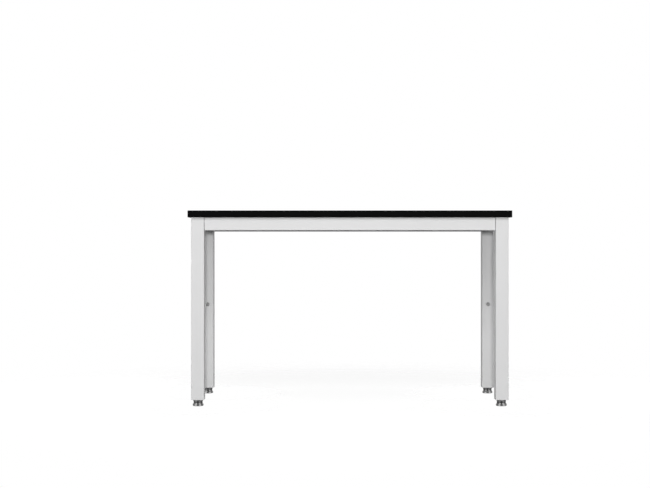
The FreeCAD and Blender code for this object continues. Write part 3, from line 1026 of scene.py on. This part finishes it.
@dataclass(frozen=True)
class Bead:
    """A weld bead's sizes in millimetres, and its seed."""

    radius: float
    spacing: float
    depth: float
    seed: int

    def lay(self, name: str, runs: Iterable[Sequence[Place]], looped: bool = False) -> None:
        """Lay coated beads on the bench.

        Args:
            name: The piece's name.
            runs: The corners of each bead's path, in millimetres.
            looped: Whether each path's end joins its start.
        """
        beads = BEAD.run(paths(name, runs, looped), LIGHT_GREY_COAT, BEAD_SHARP_EDGE,
                         Bead_Radius=self.radius * MM, Ripple_Spacing=self.spacing * MM,
                         Ripple_Depth=self.depth * MM, Seed=self.seed)
        settle(beads, LIGHT_GREY_COAT, Body.BENCH.value)


BLIND_NUT = Sleeve(width=11.0, bore=8.1, length=16.0, ribs=20)
TOP_INSERT = Sleeve(width=10.0, bore=6.1, length=14.0, ribs=18)


def place_parts(name: str, node: str, part: Piece, spots: Iterable[Stand], finish: Finish, seed: int,
                thread: Thread | None = None, body: str = Body.BENCH.value) -> None:
    """Stand copies of a part at several places, as one piece.

    Args:
        name: The piece's name.
        node: The node it replaces.
        part: The pattern part. It is used up.
        spots: Place in millimetres and outward axis of each copy.
        finish: The piece's finish.
        seed: The seed of the copies' turns.
        thread: The thread below each copy, where it has one.
        body: The body it rides on.
    """
    recipe, sizes = (THREADED, thread.amounts()) if thread else (REPEAT, {})
    piece = recipe.run(stands(name, spots), finish, Part=part, Seed=seed, **sizes)
    bpy.data.objects.remove(part)
    settle(piece, finish, body, node)


def hexagon_head(flats: float, height: float) -> Piece:
    """A hexagon head with a turned crown and a washer face, standing on z = 0.

    Args:
        flats: Size across the flats.
        height: Height of the head.

    Returns:
        The pattern part.
    """
    crown, face, bearing = 0.93 * flats, 0.475 * flats, 0.45 * flats
    dish, step, skirt, skirt_slope, crown_edge = 0.12, 0.22, 0.25, -0.4, 0.25
    outlines = [ring(0.0, dish), ring(bearing, 0.0), ring(face, 0.0), ring(face, step),
                hexagon(flats, skirt, skirt_slope, flats), hexagon(flats, height, CROWN_SLOPE, crown),
                ring(crown / 2 - crown_edge, height), ring(0.0, height)]
    return Loft("head", outlines, segments=72, crease=HEXAGON_SHARP_EDGE).build()


def washer(width: float, bolt_width: float) -> Piece:
    """A flat washer with a stamped edge, standing on z = 0.

    Args:
        width: Its outer width.
        bolt_width: The width of the bolt through it.

    Returns:
        The pattern part.
    """
    bore = (bolt_width + BOLT_CLEARANCE) / 2
    profile = [(bore, 0.0, 0.12), (width / 2, 0.0, 0.12), (width / 2, WASHER_THICKNESS, 0.45),
               (bore, WASHER_THICKNESS, 0.2)]
    return turned("washer", profile, segments=64)


# The bench


@dataclass
class Worktop:
    """The slab with its inserts, screws and washers."""

    fixing_y: float = LEG_Y - 15.0
    washer_width: float = 12.0
    head_flats: float = 10.0
    head_height: float = 4.0
    thread: Thread = Thread(width=6.0, pitch=1.0, depth=0.55, length=18.0, tip_bevel=0.6, facets=24)

    def spots(self, height: float) -> list[Stand]:
        """The six fixings at one height, facing down."""
        return [((x, side * self.fixing_y, height), (0.0, 0.0, -1.0)) for side in (-1, 1) for x in LUG_X]

    def build(self) -> None:
        """Dress the slab and make its fixings."""
        coat_node("worktop", BLACK_RESIN)
        place_parts("worktop_hex_screws", "worktop_screws", hexagon_head(self.head_flats, self.head_height),
                    self.spots(LUG_UNDERSIDE - WASHER_THICKNESS), BRIGHT_ZINC, seed=3, thread=self.thread)
        place_parts("worktop_flat_washers", "worktop_washers", washer(self.washer_width, self.thread.width),
                    self.spots(LUG_UNDERSIDE), BRIGHT_ZINC, seed=5)
        place_parts("worktop_brass_inserts", "worktop_inserts", TOP_INSERT.build(), self.spots(FRAME_TOP),
                    TURNED_BRASS, seed=7)


@dataclass
class SteelFrame:
    """The tubes, plates, brackets and lugs, with the fasteners and weld beads that hold them together."""

    leg_bottom: float = 30.0
    apron_height: float = 60.0
    apron_thickness: float = 30.0
    bead_top: float = 4.0
    bead_stop: float = 5.0
    bead_sink: float = 0.5
    bolt_y: float = LEG_Y - 16.0
    bolt_heights: Span = (832.0, 858.0)
    bolt_flats: float = 13.0
    bolt_head_height: float = 5.3
    thread: Thread = Thread(width=8.0, pitch=1.25, depth=0.68, length=20.0, tip_bevel=0.8, facets=32)
    washer_width: float = 16.0
    bracket_wall: float = 4.0
    bracket_bend: float = 10.0
    bracket_reach: float = 40.0
    bracket_heights: Span = (820.0, 870.0)
    apron_bead: Bead = Bead(radius=2.4, spacing=2.2, depth=0.9, seed=19)
    small_bead: Bead = Bead(radius=1.7, spacing=1.8, depth=0.7, seed=23)
    rim_bead: Bead = Bead(radius=0.9, spacing=1.5, depth=0.35, seed=29)
    rim_inset: float = 2.1
    rim_lift: float = 0.1
    rim_rounding: float = 2.0
    rim_steps: int = 3
    coated: tuple[str, ...] = field(default_factory=lambda: (
        "front_apron", "rear_apron", "left_apron", "right_apron", "leg_caps", "apron_brackets",
        "worktop_lugs", *(f"leg_{corner.label}" for corner in Corner),
        *(f"end_plate_{corner.label}" for corner in Corner)))

    def build(self) -> None:
        """Dress the tubes and plates and make the fasteners and beads."""
        for node in self.coated:
            coat_node(node, LIGHT_GREY_COAT)
        self.build_bolts()
        self.apron_bead.lay("side_apron_weld_beads", [self.apron_path(corner) for corner in Corner])
        self.small_bead.lay("bracket_and_lug_weld_beads",
                            [*(self.bracket_path(corner) for corner in Corner), *self.lug_paths()])
        self.rim_bead.lay("end_plate_weld_beads", [self.rim_path(corner) for corner in Corner], looped=True)

    def bolt_spots(self, out: float) -> list[Stand]:
        """Find the eight bolts' places, facing the middle.

        Args:
            out: Their distance from the legs' inner faces.

        Returns:
            Place and axis of each.
        """
        reach = LEG_X - LEG_WIDTH / 2 - out
        return [((side * reach, front * self.bolt_y, height), (-side, 0.0, 0.0))
                for side in (-1, 1) for front in (-1, 1) for height in self.bolt_heights]

    def build_bolts(self) -> None:
        """Make the bolts, their washers and the blind nuts in the legs."""
        under_head = self.bracket_wall + WASHER_THICKNESS
        place_parts("frame_hex_bolts", "frame_bolts", hexagon_head(self.bolt_flats, self.bolt_head_height),
                    self.bolt_spots(under_head), BRIGHT_ZINC, seed=11, thread=self.thread)
        place_parts("frame_flat_washers", "frame_washers", washer(self.washer_width, self.thread.width),
                    self.bolt_spots(self.bracket_wall), BRIGHT_ZINC, seed=13)
        place_parts("frame_blind_nuts", "frame_rivet_nuts", BLIND_NUT.build(), self.bolt_spots(0.0),
                    BRIGHT_ZINC, seed=17)

    def apron_path(self, corner: Corner) -> list[Place]:
        """The bead round the inner and lower edges of a side apron's end.

        Args:
            corner: The leg that the apron meets.

        Returns:
            The path's corners.
        """
        side, front = corner.value
        y = front * (LEG_Y - LEG_WIDTH / 2)
        outer_x = LEG_X + LEG_WIDTH / 2
        inner_x, bottom = side * (outer_x - self.apron_thickness), FRAME_TOP - self.apron_height
        return [(inner_x, y, FRAME_TOP - self.bead_top), (inner_x, y, bottom),
                (side * (outer_x - self.bead_stop), y, bottom)]

    def bracket_path(self, corner: Corner) -> list[Place]:
        """The bead along a bracket's lower and free edges, on the apron's back.

        Args:
            corner: The leg that the bracket stands at.

        Returns:
            The path's corners.
        """
        side, front = corner.value
        low, high = self.bracket_heights
        y = front * (LEG_Y + LEG_WIDTH / 2 - self.apron_thickness - self.bead_sink)
        leg_face = LEG_X - LEG_WIDTH / 2
        bend, free = side * (leg_face - self.bracket_bend), side * (leg_face - self.bracket_reach)
        return [(bend, y, low), (free, y, low), (free, y, high)]

    def lug_paths(self) -> list[list[Place]]:
        """The bead along each worktop lug.

        Returns:
            Each path's corners.
        """
        half = LUG_LENGTH / 2
        return [[(x - half, y, LUG_UNDERSIDE), (x + half, y, LUG_UNDERSIDE)]
                for x in LUG_X for y in (-LEG_Y, LEG_Y)]

    def rim_path(self, corner: Corner) -> list[Place]:
        """The rounded square on a leg's lower end, where its plate is welded in.

        Args:
            corner: The leg.

        Returns:
            The path's corners.
        """
        x, y = corner.centre
        half = LEG_WIDTH / 2 - self.rim_inset
        turns = [math.radians(90 * step / self.rim_steps) for step in range(self.rim_steps + 1)]
        path = []
        for across, along in ((1, 1), (-1, 1), (-1, -1), (1, -1)):
            for turn in turns if across == along else reversed(turns):
                path.append((x + across * (half - self.rim_rounding * (1 - math.cos(turn))),
                             y + along * (half - self.rim_rounding * (1 - math.sin(turn))),
                             self.leg_bottom + self.rim_lift))
        return path


@dataclass
class RailFixings:
    """The button-head screws half way up the rear legs, each on a washer with a blind nut behind it."""

    height: float = 449.0
    leg_face: float = LEG_Y - LEG_WIDTH / 2
    washer_width: float = 20.0
    head_width: float = 14.0
    head_height: float = 4.4
    head_rim: float = 1.4
    shoulder_width: float = 10.2
    shoulder_drop: float = 0.55
    land_width: float = 7.2
    mouth_width: float = 6.24
    mouth_bevel: float = 0.35
    socket_flats: float = 5.0
    socket_depth: float = 2.6
    drill_width: float = 3.0
    drill_edge_depth: float = 0.4
    drill_depth: float = 0.9
    thread: Thread = Thread(width=8.0, pitch=1.25, depth=0.68, length=16.0, tip_bevel=0.8, facets=32)

    def spots(self, y: float) -> list[Stand]:
        """The two screws' places at one depth, facing the front."""
        return [((side * LEG_X, y, self.height), (0.0, -1.0, 0.0)) for side in (-1, 1)]

    def button_head(self) -> Piece:
        """The domed head with its hexagon socket, standing on z = 0.

        Returns:
            The pattern part.
        """
        rim, top, floor = self.head_width / 2, self.head_height, self.head_height - self.socket_depth
        dome = eased([(0.0, 0.0), (rim, 0.0, 0.3), (rim, self.head_rim, 2.4),
                      (self.shoulder_width / 2, top - self.shoulder_drop, 4.0),
                      (self.land_width / 2, top, 0.5), (0.0, top)])
        outlines = [ring(radius, height) for radius, height in dome[:-1]]
        outlines += [ring(self.mouth_width / 2, top), hexagon(self.socket_flats, top - self.mouth_bevel),
                     hexagon(self.socket_flats, floor),
                     ring(self.drill_width / 2, floor - self.drill_edge_depth),
                     ring(0.0, floor - self.drill_depth)]
        return Loft("button", outlines, segments=72, crease=30.0).build()

    def build(self) -> None:
        """Make the screws, washers and blind nuts."""
        place_parts("rail_button_screws", "rail_screws", self.button_head(),
                    self.spots(self.leg_face - WASHER_THICKNESS), SATIN_STAINLESS, seed=31,
                    thread=self.thread)
        place_parts("rail_flat_washers", "rail_washers", washer(self.washer_width, self.thread.width),
                    self.spots(self.leg_face), SATIN_STAINLESS, seed=37)
        place_parts("rail_blind_nuts", "rail_rivet_nuts", BLIND_NUT.build(), self.spots(self.leg_face),
                    BRIGHT_ZINC, seed=41)


@dataclass
class LevellingFoot:
    """One corner's threaded bush, plated foot, black neck ring of painted shade, rubber pad and stud.

    In the profiles, a corner's third number is the radius that rounds it. The corners of the stud's riveted
    end are given by how far they lie in from its side and its face.
    """

    corner: Corner
    bush_low_width: float = 42.5
    bush_top_width: float = 48.0
    bush_bottom: float = 21.0
    bush_height: float = 9.0
    bush_groove: Span = (23.9, 24.8)
    bush_groove_depth: float = 0.35
    spigot_width: float = 22.0
    spigot_length: float = 22.0
    stud_bore: float = 12.1
    recess_radius: float = 10.3
    recess_depth: float = 7.3
    rim_width: float = 50.6
    rim_height: float = 6.4
    rim_groove: Span = (2.4, 3.2)
    rim_groove_depth: float = 0.3
    groove_slope: float = 0.2
    neck_width: float = 42.5
    flare_top: float = 13.0
    groove_bottom: float = 14.9
    groove_top: float = 18.8
    groove_depth: float = 2.2
    base_bottom: float = 1.5
    base_height: float = 19.2
    dish_radius: float = 13.0
    dish_depth: float = 0.4
    web: float = 8.7
    hollow_width: float = 40.0
    journal_bore: float = 10.1
    seal_inset: float = 0.6
    seal_play: float = 0.05
    pad_width: float = 47.0
    pad_plug: float = 39.6
    pad_height: float = 9.4
    grip_radii: tuple[float, ...] = (5.0, 9.0, 13.0, 17.0)
    grip_width: float = 1.6
    grip_slope: float = 0.35
    grip_depth: float = 0.6
    hexagon_flats: float = 17.0
    hexagon_height: float = 7.2
    hexagon_bottom: float = 20.8
    hexagon_lip: float = 0.05
    crown_share: float = 0.94
    thread: Thread = Thread(width=12.0, pitch=1.75, depth=1.0, length=50.0, tip_bevel=1.5, facets=40,
                            rows=10.0)
    rivet_bottom: float = 9.9
    rivet_width: float = 14.0
    rivet_height: float = 2.0
    rivet_dent: float = 0.3
    rivet_corners: tuple[Point, ...] = ((2.4, 0.0), (0.5, 0.5), (0.0, 1.1))
    journal_width: float = 10.0

    @property
    def centre(self) -> Place:
        """The foot's axis on the floor."""
        return (*self.corner.centre, 0.0)

    def name(self, thing: str) -> str:
        """A piece's name at this corner."""
        return f"{thing}_{self.corner.label}"

    def build(self) -> None:
        """Make the five pieces."""
        self.build_bush()
        self.build_base()
        self.build_seal()
        self.build_pad()
        self.build_stud()

    def build_bush(self) -> None:
        """Turn the conical bush, with a tool groove in its cone."""
        bottom, top = self.bush_bottom, self.bush_bottom + self.bush_height
        low, high = self.bush_low_width / 2, self.bush_top_width / 2
        slope = (high - low) / self.bush_height

        def on_cone(height: float, inset: float = 0.0) -> Point:
            """A point on the cone's face, or inside it by an inset."""
            return low + slope * (height - bottom) - inset, height

        start, end = self.bush_groove
        roof, tip = bottom + self.recess_depth, top + self.spigot_length
        profile = [(self.recess_radius, bottom, 0.4), (low, bottom, 0.8), on_cone(start),
                   (*on_cone(start + self.groove_slope, self.bush_groove_depth), 0.15),
                   (*on_cone(end - self.groove_slope, self.bush_groove_depth), 0.15), on_cone(end),
                   (high, top, 0.8), (self.spigot_width / 2, top), (self.spigot_width / 2, tip, 0.8),
                   (self.stud_bore / 2, tip, 0.5), (self.stud_bore / 2, roof), (self.recess_radius, roof)]
        piece = turned(self.name("turned_bush"), profile, self.centre)
        settle(piece, DULL_BUSH, Body.BENCH.value, self.name("thread_bush"))

    def build_base(self) -> None:
        """Turn the flared foot, hollow underneath, with a groove round its neck for the black ring of painted
        shade.
        """
        bottom, top = self.base_bottom, self.base_bottom + self.base_height
        rim, neck = self.rim_width / 2, self.neck_width / 2
        start, end = (bottom + height for height in self.rim_groove)
        rim_root, root = rim - self.rim_groove_depth, neck - self.groove_depth
        ceiling, hollow, bore = top - self.web, self.hollow_width / 2, self.journal_bore / 2
        dish, dish_floor = self.dish_radius, top - self.dish_depth
        profile = [(hollow, bottom, 0.5), (rim, bottom, 1.0), (rim, start),
                   (rim_root, start + self.groove_slope), (rim_root, end - self.groove_slope), (rim, end),
                   (rim, bottom + self.rim_height, 3.0), (neck, self.flare_top, 4.6),
                   (neck, self.groove_bottom, 0.15), (root, self.groove_bottom), (root, self.groove_top),
                   (neck, self.groove_top, 0.3), (neck, top, 1.0), (dish, top, 0.3),
                   (dish - self.dish_depth, dish_floor, 0.2), (bore, dish_floor, 0.3), (bore, ceiling),
                   (hollow, ceiling, 1.5)]
        piece = turned(self.name("plated_foot"), profile, self.centre)
        settle(piece, PLATED_FOOT, Body.FOOT.at(self.corner), self.name("foot_base"))

    def build_seal(self) -> None:
        """Turn the black ring that sits in the neck's groove, painted shade for the dark band under the bush.
        """
        inner, outer = self.neck_width / 2 - self.groove_depth, self.neck_width / 2 - self.seal_inset
        low, high = self.groove_bottom + self.seal_play, self.groove_top - self.seal_play
        profile = [(inner, low, 0.2), (outer, low, 0.9), (outer, high, 0.9), (inner, high, 0.2)]
        # Painted shade: a black rubber ring darkens the neck band where the bush shades it.
        piece = turned(self.name("neck_seal"), profile, self.centre, segments=64)
        settle(piece, BLACK_RUBBER, Body.FOOT.at(self.corner))

    def build_pad(self) -> None:
        """Turn the rubber pad, with grip rings cut into its underside."""
        plug, tread = self.pad_plug / 2, self.pad_width / 2
        profile: list[tuple[float, ...]] = [(0.0, 0.0)]
        for inner in self.grip_radii:
            outer = inner + self.grip_width
            profile += [(inner, 0.0, 0.2), (inner + self.grip_slope, self.grip_depth, 0.2),
                        (outer - self.grip_slope, self.grip_depth, 0.2), (outer, 0.0, 0.2)]
        profile += [(tread, 0.0, 0.9), (tread, self.base_bottom, 0.25), (plug, self.base_bottom),
                    (plug, self.pad_height, 0.8), (0.0, self.pad_height)]
        piece = turned(self.name("rubber_pad"), profile, self.centre, closed=False)
        settle(piece, BLACK_RUBBER, Body.FOOT.at(self.corner), self.name("foot_pad"))

    def build_stud(self) -> None:
        """Make the stud: riveted end, journal, hexagon and a real thread above it."""
        flats, tall, lip = self.hexagon_flats, self.hexagon_height, self.hexagon_lip
        journal, rivet, crown = self.journal_width / 2, self.rivet_width / 2, self.crown_share * flats
        end = tall + self.hexagon_bottom - self.rivet_bottom
        under_rivet = end - self.rivet_height
        riveted = [ring(rivet - inset, end - drop) for inset, drop in self.rivet_corners]
        outlines = [ring(0.0, end - self.rivet_dent), *riveted, ring(rivet, under_rivet),
                    ring(journal, under_rivet), ring(journal, tall), ring(crown / 2, tall),
                    hexagon(flats, tall - lip, CROWN_SLOPE, crown), hexagon(flats, lip, -CROWN_SLOPE, crown),
                    ring(crown / 2, 0.0), ring(0.0, 0.0)]
        part = Loft("head", outlines, segments=72, crease=HEXAGON_SHARP_EDGE).build()
        spot = ((*self.corner.centre, self.hexagon_bottom + tall), (0.0, 0.0, -1.0))
        place_parts(self.name("levelling_stud"), self.name("foot_stud"), part, [spot], BRIGHT_ZINC, seed=43,
                    thread=self.thread, body=Body.STUD.at(self.corner))


# The studio


@dataclass(frozen=True)
class Softbox:
    """One soft lamp: its places in metres, its size and its power in watts."""

    name: str
    place: Place
    aim: Place
    width: float
    height: float
    power: float

    def build(self) -> None:
        """Hang the lamp."""
        lamp = bpy.data.lights.new(self.name, "AREA")
        lamp.shape = "RECTANGLE"
        lamp.size, lamp.size_y = self.width, self.height
        lamp.energy = self.power
        holder = linked(self.name, lamp)
        holder.location = self.place
        holder.rotation_euler = (Vector(self.aim) - Vector(self.place)).to_track_quat("-Z", "Y").to_euler()
        holder.visible_camera = False
        holder.visible_glossy = False


@dataclass
class Studio:
    """Camera, floor, surroundings and lamps; places in metres, turns from the front in radians."""

    camera_place: Place = (-0.115, -6.21, 0.752)
    lens: float = 70.9
    sensor_width: float = 36.0
    ambient: Span = (0.05, 0.1)
    ambient_heights: Span = (-0.1, 0.9)
    mirror_front: float = 0.1
    mirror_side: float = 0.2
    panel_start: Span = (0.38, 0.62)
    panel_end: Span = (1.05, 1.35)
    backdrop_start: Span = (2.6, 3.0)
    ceiling_heights: Span = (0.65, 0.95)
    ceiling_share: float = 0.5
    ground_heights: Span = (-0.2, 0.0)
    ground_share: float = 0.65
    floor_radius: float = 9.0
    floor_height: float = -0.0002
    floor_share: float = 0.34
    floor_fade: Span = (1.0, 2.1)
    floor_tone: float = 0.95
    floor_bounce: float = 0.2
    floor_glow: float = 0.34
    floor_mirrored: float = 0.3
    foot_clearing: Span = (0.2, 0.45)
    softboxes: tuple[Softbox, ...] = (
        Softbox("level_softbox", (-0.1, -7.0, 1.0), (-0.1, 0.0, 0.6), 0.35, 0.3, 248.0),
        Softbox("left_key_softbox", (-1.8, -4.6, 2.9), (-0.4, 0.0, 0.5), 1.2, 1.0, 28.0),
        Softbox("right_key_softbox", (1.6, -4.6, 2.9), (0.2, 0.0, 0.5), 1.2, 1.0, 14.0),
        Softbox("high_softbox", (0.0, -3.4, 3.4), (0.0, 0.0, 0.5), 2.0, 1.0, 56.0),
        Softbox("overhead_softbox", (0.0, -1.2, 4.2), (0.0, 0.0, 0.3), 4.0, 3.0, 10.0),
        Softbox("left_side_softbox", (-2.0, 0.3, 0.6), (-0.7, 0.0, 0.45), 0.8, 1.0, 11.0),
        Softbox("right_side_softbox", (2.0, 0.3, 0.6), (0.7, 0.0, 0.45), 0.8, 1.0, 11.0),
        Softbox("rear_softbox", (0.0, 6.5, 2.6), (0.0, 0.0, 0.5), 4.0, 2.4, 215.0),
    )

    def build(self) -> None:
        """Set up the whole studio."""
        bpy.context.scene.view_settings.view_transform = "Standard"
        self.build_camera()
        self.build_world()
        self.build_floor()
        for softbox in self.softboxes:
            softbox.build()

    def build_camera(self) -> None:
        """Stand the camera level in front of the bench."""
        camera = bpy.data.cameras.new("camera")
        camera.lens = self.lens
        camera.sensor_width = self.sensor_width
        holder = linked("camera", camera)
        holder.location = self.camera_place
        holder.rotation_euler = (math.pi / 2, 0.0, 0.0)
        bpy.context.scene.camera = holder

    def build_world(self) -> None:
        """Make a world that is white to the eye and a soft grey as light.

        Metal mirrors a dim camera side, a white panel on either side of it and a white backdrop.
        """
        world = bpy.data.worlds.new("studio")
        bpy.context.scene.world = world
        world.use_nodes = True
        graph = Graph(world.node_tree)
        backdrop = world.node_tree.nodes["Background"]
        rays = graph.add("ShaderNodeLightPath").outputs
        x, y, z = graph.split(graph.add("ShaderNodeTexCoord").outputs["Generated"])
        ambient = graph.remap(z, self.ambient_heights, self.ambient)
        from_front = graph.math("ARCTAN2", graph.math("ABSOLUTE", x), graph.math("MULTIPLY", y, -1.0))
        panels = graph.math("MINIMUM",
                            graph.remap(from_front, self.panel_start, (self.mirror_front, 1.0), smooth=True),
                            graph.remap(from_front, self.panel_end, (1.0, self.mirror_side), smooth=True))
        backdrop_white = graph.remap(from_front, self.backdrop_start, (0.0, 1.0), smooth=True)
        around = graph.math("MAXIMUM", panels, backdrop_white)
        steep = graph.math("MULTIPLY",
                           graph.remap(z, self.ceiling_heights, (1.0, self.ceiling_share), smooth=True),
                           graph.remap(z, self.ground_heights, (self.ground_share, 1.0), smooth=True))
        mirrored = graph.math("MULTIPLY", around, steep)
        seen = graph.math("MAXIMUM", rays["Is Camera Ray"], rays["Is Transmission Ray"])
        white = graph.math("MAXIMUM", seen, graph.math("MULTIPLY", rays["Is Glossy Ray"], mirrored))
        unseen = graph.math("SUBTRACT", 1.0, graph.math("MAXIMUM", seen, rays["Is Glossy Ray"]))
        level_of_light = graph.math("ADD", white, graph.math("MULTIPLY", unseen, ambient))
        graph.feed(backdrop.inputs["Color"], graph.join(level_of_light, level_of_light, level_of_light))
        backdrop.inputs["Strength"].default_value = 1.0

    def build_floor(self) -> None:
        """Lay a round pale floor that takes the bench's shadow and thins out into the white."""
        work = bmesh.new()
        bmesh.ops.create_circle(work, cap_ends=True, radius=self.floor_radius, segments=96)
        bmesh.ops.translate(work, verts=work.verts, vec=(0.0, 0.0, self.floor_height))
        floor = finished(work, "floor", SHARP_EDGE)
        floor.data.materials.append(self.floor_material())

    def floor_material(self) -> bpy.types.Material:
        """The floor's material: a thin pale veil to the eye and in reflections, clear from below.

        Only bounced light meets it as a solid ground.

        Returns:
            The material.
        """
        material = bpy.data.materials.new("pale_floor")
        material.use_nodes = True
        material.node_tree.nodes.clear()
        graph = Graph(material.node_tree)
        rays = graph.add("ShaderNodeLightPath").outputs
        where = graph.add("ShaderNodeTexCoord").outputs["Object"]
        reach = graph.add("ShaderNodeVectorMath", operation="LENGTH")
        graph.feed(reach.inputs[0], where)
        near = graph.remap(reach.outputs["Value"], self.floor_fade, (self.floor_share, 0.0), smooth=True)
        above = graph.math("SUBTRACT", 1.0, graph.add("ShaderNodeNewGeometry").outputs["Backfacing"])
        straight = graph.math("MAXIMUM", rays["Is Camera Ray"], rays["Is Transmission Ray"])
        looked_at = graph.math("MAXIMUM", straight, rays["Is Glossy Ray"])
        in_view = graph.math("MULTIPLY", straight, self.off_the_feet(graph, where))
        in_mirror = graph.math("MULTIPLY", rays["Is Glossy Ray"], self.floor_mirrored)
        pale = graph.math("MULTIPLY", graph.math("MAXIMUM", in_view, in_mirror),
                          graph.math("MULTIPLY", near, above))
        lit = graph.math("SUBTRACT", 1.0, rays["Is Shadow Ray"])
        unseen = graph.math("MULTIPLY", graph.math("SUBTRACT", 1.0, looked_at), lit)
        diffuse = graph.add("ShaderNodeBsdfDiffuse")
        graph.feed(diffuse.inputs["Color"],
                   graph.between(looked_at, (self.floor_bounce,) * 3, (self.floor_tone,) * 3))
        glow = graph.add("ShaderNodeEmission")
        graph.feed(glow.inputs["Strength"], graph.math("MULTIPLY", looked_at, self.floor_glow))
        solid = graph.add("ShaderNodeAddShader")
        graph.feed(solid.inputs[0], diffuse.outputs[0])
        graph.feed(solid.inputs[1], glow.outputs[0])
        clear = graph.add("ShaderNodeBsdfTransparent")
        mixed = graph.add("ShaderNodeMixShader")
        graph.feed(mixed.inputs[0], graph.math("ADD", pale, unseen))
        graph.feed(mixed.inputs[1], clear.outputs[0])
        graph.feed(mixed.inputs[2], solid.outputs[0])
        graph.feed(graph.add("ShaderNodeOutputMaterial").inputs["Surface"], mixed.outputs[0])
        return material

    def off_the_feet(self, graph: Graph, where: Socket) -> Socket:
        """Find how far the floor may show: not round the feet, which stay in plain sight when screwed out.

        Args:
            graph: The floor's tree.
            where: The place on the floor, in metres.

        Returns:
            The factor, 0 round each foot and 1 beyond.
        """
        x, y, _ = graph.split(where)
        off_x = graph.math("SUBTRACT", graph.math("ABSOLUTE", x), LEG_X * MM)
        off_y = graph.math("SUBTRACT", graph.math("ABSOLUTE", y), LEG_Y * MM)
        squares = [graph.math("MULTIPLY", off, off) for off in (off_x, off_y)]
        to_foot = graph.math("SQRT", graph.math("ADD", *squares))
        return graph.remap(to_foot, self.foot_clearing, (0.0, 1.0), smooth=True)


def main() -> None:
    """Build the studio and the bench, piece by piece."""
    logging.basicConfig(level=logging.INFO, format="%(message)s")
    Studio().build()
    Worktop().build()
    SteelFrame().build()
    RailFixings().build()
    for corner in Corner:
        LevellingFoot(corner).build()


if __name__ == "__main__":
    main()
